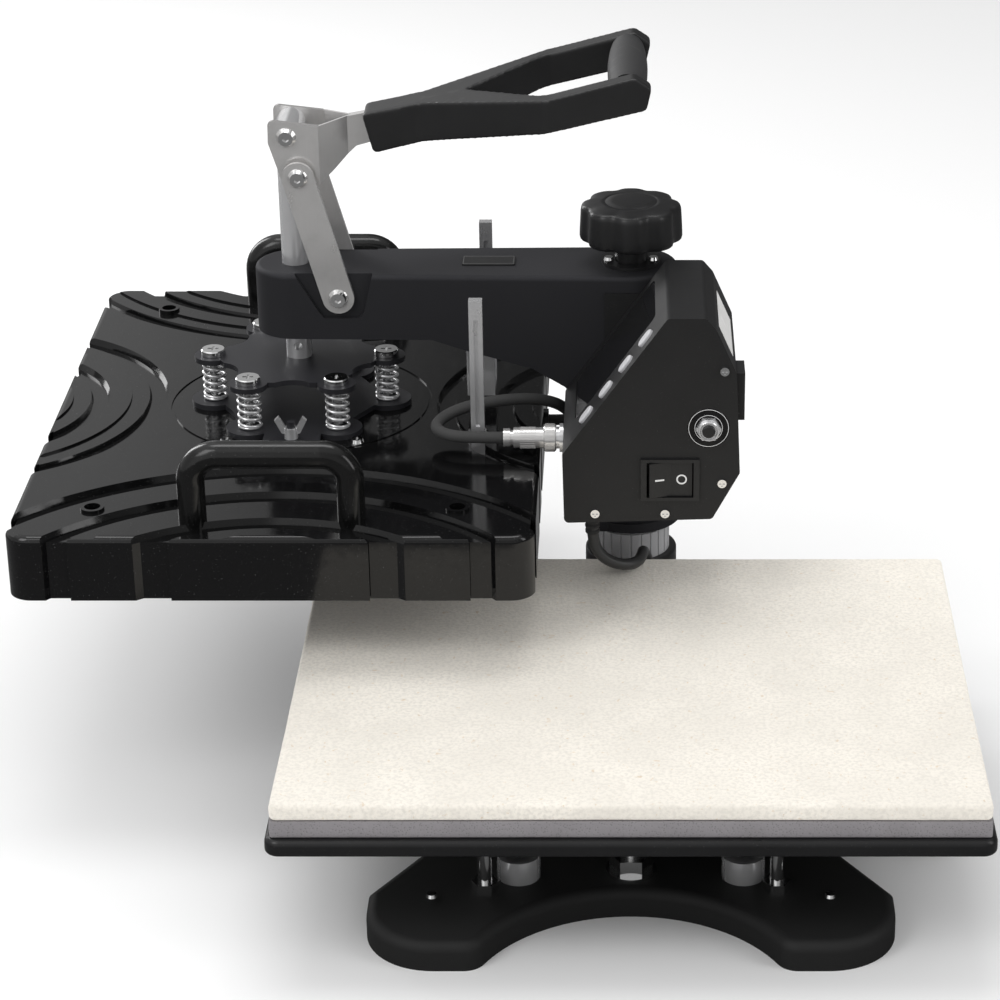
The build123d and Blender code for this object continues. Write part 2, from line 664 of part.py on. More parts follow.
def make_heater():
    """Heat plate, the element on its back and the blanket over it."""
    half = (HEATER_SIZE[0] / 2, HEATER_SIZE[1] / 2)
    with BuildPart() as plate:
        with BuildSketch(Plane.XY.offset(HEATER_BOTTOM)):
            with Locations((SHAFT_X, 0)):
                RectangleRounded(*HEATER_SIZE, 8)
        extrude(amount=HEATER_T)
    save(plate, "heat_plate")
    element_z = HEATER_BOTTOM + HEATER_T
    rows = [-120.0, -72.0, -24.0, 24.0, 72.0, 120.0]
    with BuildPart() as element:
        for row in rows:
            block((SHAFT_X + row - 4, -165, element_z), (SHAFT_X + row + 4, 165, element_z + ELEMENT_T))
        for index, row in enumerate(rows[:-1]):
            end = 161 if index % 2 == 0 else -161
            block((SHAFT_X + row - 4, end - 4, element_z), (SHAFT_X + row + 52, end + 4, element_z + ELEMENT_T))
    save(element, "heating_element")
    with BuildPart() as blanket:
        block((SHAFT_X - half[0], -half[1], element_z + ELEMENT_T), (SHAFT_X + half[0], half[1], BLANKET_TOP))
        rod_along((GLAND[1], GLAND[2]), 6.0, SHAFT_X + half[0] - 12, SHAFT_X + half[0] + 1, Mode.SUBTRACT)
        rod_up(VENT_SPOTS, 6.0, element_z, BLANKET_TOP + 1, Mode.SUBTRACT)
    save(blanket, "insulation_blanket")
    with BuildPart() as gland:
        rod_along((GLAND[1], GLAND[2]), 5.0, GLAND[0] - COVER_WALL, GLAND[0])
        rod_along((GLAND[1], GLAND[2]), 7.0, GLAND[0], GLAND[0] + 2.5)
    save(gland, "lead_gland")


def make_springs():
    """Lower spider, six shoulder screws, six coil springs and the wing nut."""
    spots = spring_spots()
    with BuildPart() as lower:
        with BuildSketch(Plane.XY.offset(COVER_TOP)):
            spider_plan(14.5, 17.0, 66.0, True)
            with Locations((SHAFT_X, WING_Y + 7), (SHAFT_X, -WING_Y - 7)):
                RectangleRounded(34, 40, 9)
        extrude(amount=SPIDER_T)
        rod_up([(SHAFT_X, WING_Y)], 2.5, LOWER_SPIDER_TOP, LOWER_SPIDER_TOP + 11)
        rod_up(spots, SPRING_SCREW_R, COVER_TOP, LOWER_SPIDER_TOP, Mode.SUBTRACT)
    save(lower, "lower_spider")
    with BuildPart() as screws:
        rod_up(spots, SPRING_SCREW_R, COVER_TOP, UPPER_SPIDER_TOP + 0.2)
        rod_up(spots, 7.4, UPPER_SPIDER_TOP + 0.2, UPPER_SPIDER_TOP + 3.8)
        chamfer(screws.faces().group_by(Axis.Z)[-1].edges(), 0.6)
        with BuildSketch(Plane.XY.offset(UPPER_SPIDER_TOP + 3.8)):
            with Locations(*spots):
                Rectangle(6.5, 1.4)
                Rectangle(1.4, 6.5)
        extrude(amount=-1.5, mode=Mode.SUBTRACT)
        pan_head(COVER_SCREW_SPOTS, COVER_TOP, 4.2, 2.2)
        for x, y in COVER_SCREW_SPOTS:
            for half in ((2.4, 0.5), (0.5, 2.4)):
                block((x - half[0], y - half[1], COVER_TOP + 1.0), (x + half[0], y + half[1], COVER_TOP + 3),
                      Mode.SUBTRACT)
    save(screws, "spring_screws")
    low = LOWER_SPIDER_TOP + SPRING_WIRE_R + 0.1
    high = UPPER_SPIDER_BOTTOM - SPRING_WIRE_R - 0.1
    coils = []
    for x, y in spots:
        with BuildPart() as coil:
            with BuildLine(Plane(origin=(x, y, low))) as path:
                Helix((high - low) / SPRING_TURNS, high - low, SPRING_R)
            with BuildSketch(Plane(origin=path.line @ 0, z_dir=path.line % 0)):
                Circle(SPRING_WIRE_R)
            sweep(is_frenet=True)
        coils.append(coil.part)
    with BuildPart() as springs:
        add(coils)
    save(springs, "springs")
    with BuildPart() as wing:
        rod_up([(SHAFT_X, WING_Y)], 4.2, LOWER_SPIDER_TOP + 0.3, LOWER_SPIDER_TOP + 7)
        for side in (-1, 1):
            with BuildSketch(Plane.XZ.offset(-WING_Y - 1.4)):
                with BuildLine():
                    Polyline((SHAFT_X + side * 2.8, 186), (SHAFT_X + side * 5.6, 187),
                             (SHAFT_X + side * 9.6, 195), (SHAFT_X + side * 7.2, 197.4),
                             (SHAFT_X + side * 2.8, 189.6), close=True)
                make_face()
            extrude(amount=2.8)
        rod_up([(SHAFT_X, WING_Y)], 2.5 + RUNNING, LOWER_SPIDER_TOP, LOWER_SPIDER_TOP + 13, Mode.SUBTRACT)
    save(wing, "wing_nut")


def make_platen_fittings():
    """The two tube handles and the two grooved bars on the cover."""
    tubes = []
    for y in (-GRAB_Y, GRAB_Y):
        left, right = SHAFT_X - GRAB_HALF, SHAFT_X + GRAB_HALF
        with BuildPart() as tube:
            with BuildLine() as path:
                FilletPolyline((left, y, COVER_TOP - CHANNEL_DEPTH), (left, y, GRAB_TOP), (right, y, GRAB_TOP),
                               (right, y, COVER_TOP - CHANNEL_DEPTH), radius=16)
            with BuildSketch(Plane(origin=path.line @ 0, z_dir=(0, 0, 1))):
                Circle(GRAB_R)
            sweep(path=path.line)
        tubes.append(tube.part)
    with BuildPart() as cover_copy:
        add(import_step("parts/platen_cover.step"))
    with BuildPart() as handles:
        add(tubes)
        add(cover_copy.part, mode=Mode.SUBTRACT)
    save(handles, "platen_handles")
    with BuildPart() as bars:
        for x, y in GUIDE_SPOTS:
            block((x - 4, y - 3, COVER_TOP - CHANNEL_DEPTH), (x + 4, y + 3, GUIDE_TOP))
            block((x - 1.3, y - 4, COVER_TOP + 14), (x + 1.3, y - 1.4, GUIDE_TOP - 12), Mode.SUBTRACT)
        add(cover_copy.part, mode=Mode.SUBTRACT)
    save(bars, "guide_bars")


def slope_point(step, depth=0.0):
    """A point on the box's sloped face, a step up from its lower edge, and a depth above it."""
    x, z = BOX_OUTLINE[0]
    x += step * cos(SLOPE_ANGLE) - depth * sin(SLOPE_ANGLE)
    z += step * sin(SLOPE_ANGLE) + depth * cos(SLOPE_ANGLE)
    return x, z


def slope_plane(step, y, depth=0.0):
    """A plane on the sloped face: its x runs up the slope and its z points out of the box."""
    x, z = slope_point(step, depth)
    up = (cos(SLOPE_ANGLE), 0, sin(SLOPE_ANGLE))
    out = (-sin(SLOPE_ANGLE), 0, cos(SLOPE_ANGLE))
    return Plane(origin=(x, y, z), x_dir=up, z_dir=out)


def make_box(arm):
    """Control box: shell, side panel, screws, window, board, rear block and mains gland."""
    panel_face = BOX_NEAR + PANEL_T
    with BuildPart() as shell:
        side_prism(BOX_OUTLINE, panel_face, BOX_FAR, corner=3.0)
        with BuildSketch(Plane.XZ.offset(-(BOX_FAR - BOX_WALL))) as inside:
            with BuildLine():
                Polyline(*BOX_OUTLINE, close=True)
            make_face()
            offset(amount=-BOX_WALL, kind=Kind.INTERSECTION)
        extrude(amount=BOX_FAR - BOX_WALL - panel_face + 1, mode=Mode.SUBTRACT)
        block((-16, BOX_FAR, 206), (16, -20, 262))
        add(arm.part, mode=Mode.SUBTRACT)
        block((60, -118, 218), (65.5, -98, 247))
        with BuildSketch(slope_plane(52, -67, -1.2)):
            RectangleRounded(80, 62, 4)
        extrude(amount=5, mode=Mode.SUBTRACT)
        for step in BUTTON_STEPS:
            with BuildSketch(slope_plane(step, BUTTON_Y, -5)):
                SlotOverall(12.6, 8.6)
            extrude(amount=8, mode=Mode.SUBTRACT)
        rod_along((CONNECTOR_Y, CONNECTOR_Z), 6.5, -45, -30, Mode.SUBTRACT)
        rod_up([RELIEF_TOP[:2]], 6.0, 150, 163, Mode.SUBTRACT)
    save(shell, "box_shell")
    with BuildPart() as panel:
        side_prism(BOX_OUTLINE, BOX_NEAR, panel_face, corner=3.0)
        block((ROCKER[0] - 15, BOX_NEAR - 1, ROCKER[1] - 11.5), (ROCKER[0] + 15, panel_face + 1, ROCKER[1] + 11.5),
              Mode.SUBTRACT)
        rod_across(BREAKER, 4.75, BOX_NEAR - 1, panel_face + 1, Mode.SUBTRACT)
        for spot in PANEL_SCREW_SPOTS:
            rod_across(spot, 1.5, BOX_NEAR - 1, panel_face + 1, Mode.SUBTRACT)
    save(panel, "side_panel")
    with BuildPart() as screws:
        for spot in PANEL_SCREW_SPOTS:
            rod_across(spot, 1.5, BOX_NEAR, BOX_NEAR + PANEL_T)
            rod_across(spot, 2.6, BOX_NEAR - 1.6, BOX_NEAR)
            for half in ((1.7, 0.35), (0.35, 1.7)):
                block((spot[0] - half[0], BOX_NEAR - 1.7, spot[1] - half[1]),
                      (spot[0] + half[0], BOX_NEAR - 0.9, spot[1] + half[1]), Mode.SUBTRACT)
        pan_head([(-13.5, -2.0), (13.5, -2.0)], ARM_TOP + 2, 3.1, 1.8)
    save(screws, "arm_screws")
    with BuildPart() as window:
        with BuildSketch(slope_plane(52, -67, -1.2)):
            RectangleRounded(79.6, 61.6, 4)
        extrude(amount=0.8)
    save(window, "display_window")
    with BuildPart() as board:
        with BuildSketch(slope_plane(52, -72, -14)):
            Rectangle(84, 76)
        extrude(amount=1.6)
        with BuildSketch(slope_plane(52, -66, -12.4)):
            Rectangle(62, 40)
        extrude(amount=5)
        with BuildSketch(slope_plane(52, -72, -12.4)):
            with GridLocations(72, 64, 2, 2):
                Circle(3)
        extrude(amount=12.4 - BOX_WALL)
    save(board, "control_board")
    with BuildPart() as relief:
        x, y, z = RELIEF_TOP
        rod_up([(x, y)], 6.0, z, 161)
        rod_up([(x, y)], 8.0, 160.2, 163)
        with BuildSketch(Plane(origin=(x, y, z), z_dir=(0, 0, -1))):
            Circle(5.8)
        with BuildSketch(Plane(origin=(x, y, z - RELIEF_LENGTH), z_dir=(0, 0, -1))):
            Circle(4.1)
        loft()
    save(relief, "strain_relief")


def make_controls():
    """Four membrane buttons, the rocker switch and the breaker."""
    for index, step in enumerate(BUTTON_STEPS):
        with BuildPart() as button:
            with BuildSketch(slope_plane(step, BUTTON_Y, -4)):
                SlotOverall(12.0, 8.0)
            extrude(amount=5.8)
            fillet(button.edges().filter_by(lambda e: e.length > 4 and e.center().X
                                            < slope_point(step, 1.0)[0] + 5).sort_by(
                Axis(origin=(0, 0, 0), direction=(-sin(SLOPE_ANGLE), 0, cos(SLOPE_ANGLE))))[-4:], 0.9)
        save(button, "button_" + str(index + 1))
    x, z = ROCKER
    with BuildPart() as frame:
        block((x - 17, BOX_NEAR - 1.6, z - 13), (x + 17, BOX_NEAR, z + 13))
        block((x - 15, BOX_NEAR, z - 11.5), (x + 15, -108, z + 11.5))
        block((x - 13.6, BOX_NEAR - 3, z - 11.0), (x + 13.6, -110, z + 11.0), Mode.SUBTRACT)
    save(frame, "rocker_frame")
    with BuildPart() as key:
        turned = Plane(origin=(x, BOX_NEAR + 3.0, z - 10.7)).rotated((0, 0, ROCKER_TILT))
        with BuildSketch(turned) as profile:
            with BuildLine():
                Polyline((-12.8, -4.6), (0, -2.8), (12.8, -4.6), (12.4, 3.0), (0, 7.0), (-12.4, 3.0), close=True)
            make_face()
            fillet(profile.vertices(), 0.6)
        extrude(amount=21.4)
    save(key, "rocker_key")
    with BuildPart() as breaker:
        rod_across(BREAKER, 4.75, -112, BOX_NEAR - 5.0)
        with BuildSketch(Plane.XZ.offset(-BOX_NEAR)):
            with Locations((BREAKER[0], BREAKER[1])):
                RegularPolygon(7.4, 6)
        extrude(amount=3.6)
        rod_across(BREAKER, 3.8, -118, BOX_NEAR - 6, Mode.SUBTRACT)
    save(breaker, "breaker_body")
    with BuildPart() as reset:
        rod_across(BREAKER, 3.7, -119, BOX_NEAR - 7.0)
        fillet(reset.faces().sort_by(Axis.Y)[0].edges(), 0.8)
    save(reset, "breaker_button")


def make_connector():
    """The heater lead's screwed connector, its socket and the lead."""
    spot = (CONNECTOR_Y, CONNECTOR_Z)
    with BuildPart() as socket:
        rod_along(spot, 8.5, -42.2, -40.0)
        rod_along(spot, 6.5, -44.2, -37.0)
        rod_along(spot, 7.8, -36.9, -34.5)
    save(socket, "heater_socket")
    with BuildPart() as connector:
        rod_along(spot, 8.1, -51.6, -44.2)
        chamfer(connector.edges().filter_by(GeomType.CIRCLE), 0.7)
        rod_along(spot, 6.2, -69.5, -51.6)
        rod_along(spot, 4.6, -71.5, -69.5)
        rod_along(spot, 5.6, -75.5, -71.5)
    save(connector, "lead_connector")
    lead = cord_tube(HEATER_LEAD, LEAD_R, "heater_lead")
    save(lead, "heater_lead")


def make_cord():
    """Mains cord in two lengths, its coil on the table and its plug."""
    save(cord_tube(CORD_UPPER, CORD_R, "cord_upper"), "cord_upper")
    save(cord_tube(CORD_LOWER, CORD_R, "cord_lower"), "cord_lower")
    with BuildPart() as coil:
        rod_up([COIL_CENTRE], COIL_OUT, 0.1, COIL_TALL)
        rod_up([COIL_CENTRE], COIL_IN, 0, COIL_TALL + 1, Mode.SUBTRACT)
        fillet(coil.edges().filter_by(GeomType.CIRCLE), 3.0)
    save(coil, "cord_coil")
    with BuildPart() as plug:
        with BuildSketch(Plane(origin=(PLUG_X, PLUG_Y, PLUG_Z), z_dir=(0, -1, 0))):
            Circle(4.2)
        with BuildSketch(Plane(origin=(PLUG_X, PLUG_Y - 19, PLUG_Z), z_dir=(0, -1, 0))):
            Circle(6.5)
        loft()
        back, front = PLUG_Y - 19, PLUG_Y - 42
        block((PLUG_X - 12, front, 0.2), (PLUG_X + 12, back, 24))
        fillet(plug.edges().filter_by(Axis.Y).filter_by(lambda e: e.length > 20), 4.0)
        for side in (-1, 1):
            x = PLUG_X + side * 6.3
            block((x - 0.8, front - 16, 12.5), (x + 0.8, front, 18.8))
        with Locations(Location((PLUG_X, front - 9, 7.2), (90, 0, 0))):
            Cylinder(2.4, 18)
    save(plug, "mains_plug")


def main():
    """Build every sub-part."""
    os.makedirs("parts", exist_ok=True)
    make_base()
    make_column()
    make_lower_platen()
    arm = make_arm()
    make_knob()
    make_toggle()
    make_shaft()
    make_cover()
    make_heater()
    make_springs()
    make_platen_fittings()
    make_box(arm)
    make_controls()
    make_connector()
    make_cord()


main()
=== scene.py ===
"""Looks of the swing-away heat press: soft pads, leads, springs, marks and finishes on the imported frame."""
import logging
from dataclasses import dataclass, field
from enum import Enum
from math import cos, pi, radians, sin
from typing import Dict, Iterable, List, Sequence, Tuple, Union

import bmesh
import bpy
from mathutils import Euler, Matrix, Vector, noise


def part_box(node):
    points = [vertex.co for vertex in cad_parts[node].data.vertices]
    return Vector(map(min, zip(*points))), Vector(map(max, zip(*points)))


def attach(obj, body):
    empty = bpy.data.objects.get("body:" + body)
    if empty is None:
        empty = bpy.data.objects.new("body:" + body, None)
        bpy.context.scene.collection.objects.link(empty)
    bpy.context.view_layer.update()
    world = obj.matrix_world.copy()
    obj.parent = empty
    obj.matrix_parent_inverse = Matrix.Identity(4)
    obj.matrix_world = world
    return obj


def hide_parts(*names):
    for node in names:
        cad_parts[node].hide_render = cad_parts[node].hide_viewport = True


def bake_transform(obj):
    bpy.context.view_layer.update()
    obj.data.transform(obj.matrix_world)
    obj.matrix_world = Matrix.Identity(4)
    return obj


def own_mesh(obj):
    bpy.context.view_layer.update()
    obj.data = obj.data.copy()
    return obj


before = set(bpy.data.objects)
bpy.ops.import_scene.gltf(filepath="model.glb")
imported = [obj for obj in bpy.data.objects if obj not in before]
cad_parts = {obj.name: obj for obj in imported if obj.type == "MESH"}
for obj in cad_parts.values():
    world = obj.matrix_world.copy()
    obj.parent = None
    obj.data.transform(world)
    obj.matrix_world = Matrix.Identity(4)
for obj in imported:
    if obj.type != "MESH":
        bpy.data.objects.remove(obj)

LOG = logging.getLogger("heat_press")
MM = 0.001
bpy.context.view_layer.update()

Point = Tuple[float, float, float]
Colour = Tuple[float, float, float]


# ---------------------------------------------------------------------------------------------
# Node trees
# ---------------------------------------------------------------------------------------------


class Wire:
    """An output socket that takes part in sums, so that node maths reads as maths.

    Args:
        tree: the tree the socket belongs to.
        socket: the output socket.
    """

    def __init__(self, tree: "Tree", socket: bpy.types.NodeSocket) -> None:
        self.tree = tree
        self.socket = socket

    def maths(self, operation: str, *others: "Number") -> "Wire":
        """This value and others through one Math node.

        Args:
            operation: the Math node's operation.
            others: the node's further inputs.

        Returns:
            The node's result.
        """
        inputs = dict(enumerate((self, *others)))
        return self.tree.node("ShaderNodeMath", inputs, operation=operation)

    def __add__(self, other: "Number") -> "Wire":
        return self.maths("ADD", other)

    __radd__ = __add__

    def __sub__(self, other: "Number") -> "Wire":
        return self.maths("SUBTRACT", other)

    def __mul__(self, other: "Number") -> "Wire":
        return self.maths("MULTIPLY", other)

    def sine(self) -> "Wire":
        """The sine, in radians."""
        return self.maths("SINE")

    def least(self, other: "Number") -> "Wire":
        """The smaller of the two."""
        return self.maths("MINIMUM", other)

    def most(self, other: "Number") -> "Wire":
        """The larger of the two."""
        return self.maths("MAXIMUM", other)

    def between(self, low: float, high: float, out_low: float = 0.0, out_high: float = 1.0) -> "Wire":
        """A smooth step from one level to another.

        Args:
            low: the value at which the step starts.
            high: the value at which it ends.
            out_low: the result before it.
            out_high: the result after it.

        Returns:
            The stepped value.
        """
        ends = {0: self, 1: low, 2: high, 3: out_low, 4: out_high}
        return self.tree.node("ShaderNodeMapRange", ends, interpolation_type="SMOOTHSTEP")


Number = Union[Wire, float]


class Tree:
    """A node tree built by calls that return wrapped outputs.

    Args:
        data: the node tree to add to.
    """

    def __init__(self, data: bpy.types.NodeTree) -> None:
        self.data = data

    def feed(self, socket: bpy.types.NodeSocket, value) -> None:
        """Link a wire to an input socket, or set the socket's own value."""
        if isinstance(value, Wire):
            self.data.links.new(value.socket, socket)
        else:
            socket.default_value = value

    def node(self, kind: str, inputs: Dict = None, output: Union[int, str] = 0, **settings) -> Wire:
        """Add one node.

        Args:
            kind: the node's type name.
            inputs: values or wires by the input's name or number.
            output: the output that is wanted.
            settings: the node's own properties.

        Returns:
            The wanted output.
        """
        made = self.data.nodes.new(kind)
        for name, value in settings.items():
            setattr(made, name, value)
        for key, value in (inputs or {}).items():
            self.feed(made.inputs[key], value)
        return Wire(self, made.outputs[output])

    def node_into(self, kind: str, key: str, wire: Wire) -> None:
        """Add an ending node and link a wire to its input."""
        self.feed(self.data.nodes.new(kind).inputs[key], wire)


class Surface(Tree):
    """A material's tree, with its shader and a few textures by their real size.

    Args:
        name: the material's name.
    """

    def __init__(self, name: str) -> None:
        self.material = bpy.data.materials.new(name)
        self.material.use_nodes = True
        super().__init__(self.material.node_tree)
        self.data.nodes.clear()
        self.shader = self.data.nodes.new("ShaderNodeBsdfPrincipled")
        end = self.data.nodes.new("ShaderNodeOutputMaterial")
        self.data.links.new(self.shader.outputs[0], end.inputs["Surface"])
        self.place = self.node("ShaderNodeTexCoord", output="Object")

    def set(self, **values) -> None:
        """Set shader inputs; an underscore in a name stands for a space."""
        for name, value in values.items():
            self.feed(self.shader.inputs[name.replace("_", " ")], value)

    def stretched(self, stretch: Point) -> Wire:
        """Object coordinates multiplied axis by axis."""
        return self.node("ShaderNodeVectorMath", {0: self.place, 1: stretch}, operation="MULTIPLY")

    def grain(self, size_mm: float, detail: float = 2.0, stretch: Point = (1, 1, 1),
              shift: float = 0.0) -> Wire:
        """Noise whose blotches are about a size in millimetres across.

        Args:
            size_mm: the size of a blotch.
            detail: the noise's octaves.
            stretch: how much faster it changes along each axis.
            shift: moves the pattern, so that two grains differ.

        Returns:
            The noise, from 0 to 1.
        """
        moved = self.node("ShaderNodeVectorMath", {0: self.stretched(stretch), 1: (shift, shift, shift)},
                          operation="ADD")
        inputs = {"Vector": moved, "Scale": 1000.0 / size_mm, "Detail": detail, "Roughness": 0.55}
        return self.node("ShaderNodeTexNoise", inputs)

    def cells(self, size_mm: float, feature: str = "F1") -> Wire:
        """The distance to the nearest cell point, in cells of a size in millimetres."""
        inputs = {"Vector": self.place, "Scale": 1000.0 / size_mm}
        return self.node("ShaderNodeTexVoronoi", inputs, output="Distance", feature=feature)

    def mix(self, amount: Number, first: Sequence[float], second: Sequence[float]) -> Wire:
        """A colour between two others; either may be a wire."""
        pair = [c if isinstance(c, Wire) else (*c, 1.0) for c in (first, second)]
        return self.node("ShaderNodeMix", {0: amount, 6: pair[0], 7: pair[1]}, output=2, data_type="RGBA")

    def bump(self, height: Wire, depth_mm: float, below: Wire = None) -> Wire:
        """A bumped normal.

        Args:
            height: the height, from 0 to 1.
            depth_mm: the depth of the relief.
            below: a normal to bump further.

        Returns:
            The normal.
        """
        inputs = {"Strength": 1.0, "Distance": depth_mm * MM, "Height": height}
        if below is not None:
            inputs["Normal"] = below
        return self.node("ShaderNodeBump", inputs)


# ---------------------------------------------------------------------------------------------
# Finishes
# ---------------------------------------------------------------------------------------------


@dataclass(frozen=True)
class Finish:
    """A surface finish that builds its material once.

    Args:
        name: the material's name.
        colour: its main colour, linear.
        roughness: its mean roughness.
    """

    name: str
    colour: Colour
    roughness: float

    def paint(self, surface: Surface) -> None:
        """Fill in the surface's nodes."""
        raise NotImplementedError

    def material(self) -> bpy.types.Material:
        """The material, made the first time it is asked for."""
        known = bpy.data.materials.get(self.name)
        if known:
            return known
        surface = Surface(self.name)
        self.paint(surface)
        return surface.material

    def shade(self, amount: float) -> Colour:
        """The main colour, darker or lighter."""
        return tuple(min(1.0, c * amount) for c in self.colour)


@dataclass(frozen=True)
class Enamel(Finish):
    """Baked enamel or powder coat: a fine pebbled skin with a little dust in it.

    Args:
        grain_mm: the size of its pebbles.
        depth_mm: their height.
        coat: the weight of its clear skin.
    """

    grain_mm: float = 1.1
    depth_mm: float = 0.03
    coat: float = 0.0

    def paint(self, surface: Surface) -> None:
        cloud = surface.grain(38, 3)
        pebble = surface.grain(self.grain_mm, 2, shift=3.1)
        dust = surface.grain(0.7, 1, shift=7.7).between(0.70, 0.78)
        tone = surface.mix(cloud, self.shade(0.8), self.shade(1.25))
        surface.set(
            Base_Color=surface.mix(dust * 0.10, tone, (0.5, 0.5, 0.5)),
            Roughness=(cloud * 0.16 + (self.roughness - 0.08)).most(0.03),
            Normal=surface.bump(pebble, self.depth_mm),
            Coat_Weight=self.coat,
            Coat_Roughness=0.08,
            Specular_IOR_Level=0.36,
        )


@dataclass(frozen=True)
class GlossMoulding(Finish):
    """Gloss-black moulded cover: a slow ripple, faint wiping marks and fine dust."""

    def paint(self, surface: Surface) -> None:
        ripple = surface.grain(26, 2)
        wipes = surface.grain(5, 3, (1.0, 0.12, 1.0), 4.4)
        dust = surface.grain(0.8, 1, shift=9.1).between(0.71, 0.78)
        surface.set(
            Base_Color=surface.mix(dust * 0.12, self.colour, (0.45, 0.45, 0.45)),
            Roughness=(wipes.between(0.35, 0.8) * 0.10 + dust * 0.2 + self.roughness),
            Normal=surface.bump(ripple, 0.05),
            Specular_IOR_Level=0.38,
        )


@dataclass(frozen=True)
class Moulding(Finish):
    """Matt moulded plastic with a spark-eroded grain.

    Args:
        grain_mm: the size of its grain.
        depth_mm: the grain's depth.
    """

    grain_mm: float = 0.9
    depth_mm: float = 0.02

    def paint(self, surface: Surface) -> None:
        cloud = surface.grain(24, 3)
        cells = surface.cells(self.grain_mm)
        rubbed = surface.grain(9, 4, shift=2.3).between(0.55, 0.75)
        surface.set(
            Base_Color=surface.mix(cloud * 0.6 + rubbed * 0.25, self.shade(0.85), self.shade(1.4)),
            Roughness=(cloud * 0.12 + (self.roughness - 0.06)) - rubbed * 0.06,
            Normal=surface.bump(cells, self.depth_mm),
            Specular_IOR_Level=0.42,
        )


class Lay(Enum):
    """Which way a metal surface was worked."""

    POLISHED = (1.0, 1.0, 1.0)
    ALONG_Z = (1.0, 1.0, 0.04)
    TURNED_Z = (0.15, 0.15, 1.0)


@dataclass(frozen=True)
class Metal(Finish):
    """Bare or plated metal.

    Args:
        lay: the direction of its tool marks.
        marks: how strong they are.
        stain: how much duller patches show.
    """

    lay: Lay = Lay.POLISHED
    marks: float = 0.05
    stain: float = 0.3

    def paint(self, surface: Surface) -> None:
        stroke = surface.grain(0.9, 3, self.lay.value)
        patch = surface.grain(12, 3, shift=5.5).between(0.45, 0.8)
        tone = surface.mix(patch * self.stain, self.colour, self.shade(0.55))
        surface.set(
            Base_Color=surface.mix(stroke * self.marks * 4.0, tone, self.shade(0.7)),
            Metallic=0.72,
            Roughness=(stroke * self.marks * 2.0 + patch * 0.08 + self.roughness).least(0.9),
            Normal=surface.bump(stroke, self.marks * 0.25),
        )


@dataclass(frozen=True)
class Felt(Finish):
    """Cream needled felt with tan flecks and a soft fuzz.

    Args:
        fleck: the colour of the flecks.
    """

    fleck: Colour = (0.60, 0.42, 0.22)

    def paint(self, surface: Surface) -> None:
        cloud = surface.grain(42, 4)
        fuzz = surface.grain(2.0, 4, shift=1.7)
        fibres = surface.grain(2.6, 3, (1.0, 0.3, 1.0), 6.1)
        near = surface.grain(2.6, 2, (1.0, 0.6, 1.0), 2.9).between(0.66, 0.76)
        few = surface.grain(5.0, 3, (0.6, 1.0, 1.0), 8.3).between(0.67, 0.76)
        base = surface.mix(cloud.between(0.3, 0.7), self.shade(0.95), self.shade(1.04))
        matted = surface.mix(fuzz.between(0.38, 0.68) * 0.8, base, self.shade(0.84))
        spotted = surface.mix(near.most(few) * 0.42, matted, self.fleck)
        relief = fuzz * 0.7 + fibres * 0.5
        surface.set(
            Base_Color=spotted,
            Roughness=cloud * 0.1 + self.roughness,
            Normal=surface.bump(relief, 0.55),
            Sheen_Weight=0.25,
            Sheen_Roughness=0.5,
        )


@dataclass(frozen=True)
class Foam(Finish):
    """Closed-cell silicone foam with small open pores on its cut edge, each pore darkened as painted shade.
    """

    def paint(self, surface: Surface) -> None:
        pores = surface.cells(1.3)
        cloud = surface.grain(20, 3)
        # painted shade: the colour darkens towards each pore's middle, where shade falls inside the pore
        pore_shade = pores.between(0.18, 0.32, 1.0, 0.0)
        tone = surface.mix(cloud, self.shade(0.85), self.shade(1.15))
        surface.set(
            Base_Color=surface.mix(pore_shade * 0.55, tone, self.shade(0.4)),
            Roughness=cloud * 0.1 + self.roughness,
            Normal=surface.bump(pores, 0.18),
        )


@dataclass(frozen=True)
class Jacket(Finish):
    """Smooth extruded cord jacket with a slight waviness and scuffs."""

    def paint(self, surface: Surface) -> None:
        wave = surface.grain(9, 2)
        scuff = surface.grain(2.2, 4, shift=5.0).between(0.62, 0.74)
        surface.set(
            Base_Color=surface.mix(scuff * 0.3, self.colour, self.shade(2.2)),
            Roughness=wave * 0.12 + scuff * 0.1 + self.roughness,
            Normal=surface.bump(wave + scuff * 0.2, 0.08),
        )


@dataclass(frozen=True)
class Braid(Finish):
    """A braided sleeve: two crossing sets of strands, drawn on the tube's own coordinates, with a painted
    highlight on the strands on top and painted shade in the gaps between them.

    Args:
        pitch_mm: the length of one strand's step along the tube.
        strands: the strands each way round.
    """

    pitch_mm: float = 3.2
    strands: int = 8

    def paint(self, surface: Surface) -> None:
        where = surface.node("ShaderNodeUVMap", uv_map="UVMap")
        parts = surface.data.nodes.new("ShaderNodeSeparateXYZ")
        surface.feed(parts.inputs[0], where)
        around = Wire(surface, parts.outputs[0]) * (2 * pi * self.strands)
        along = Wire(surface, parts.outputs[1]) * (2 * pi * 1000.0 / self.pitch_mm)
        left = (around + along).sine()
        right = (around - along).sine()
        over = (left * right).between(-0.9, 0.9)
        strand = left.most(right).between(-0.4, 1.0)
        surface.set(
            # painted highlight and painted shade: the strands on top are made lighter and the gaps between
            # strands darker, as light and shade would make them
            Base_Color=surface.mix(strand * (over * 0.5 + 0.5), self.shade(0.35), self.shade(1.9)),
            Roughness=surface.grain(1.0, 2) * 0.15 + self.roughness,
            Normal=surface.bump(strand + over * 0.5, 0.35),
        )


@dataclass(frozen=True)
class Wool(Finish):
    """Glass-wool blanket, seen only where the cover is open."""

    def paint(self, surface: Surface) -> None:
        strand = surface.grain(3.0, 5, (1.0, 0.25, 1.0))
        surface.set(
            Base_Color=surface.mix(strand, self.shade(0.8), self.shade(1.1)),
            Roughness=strand * 0.1 + self.roughness,
            Normal=surface.bump(strand, 0.6),
        )


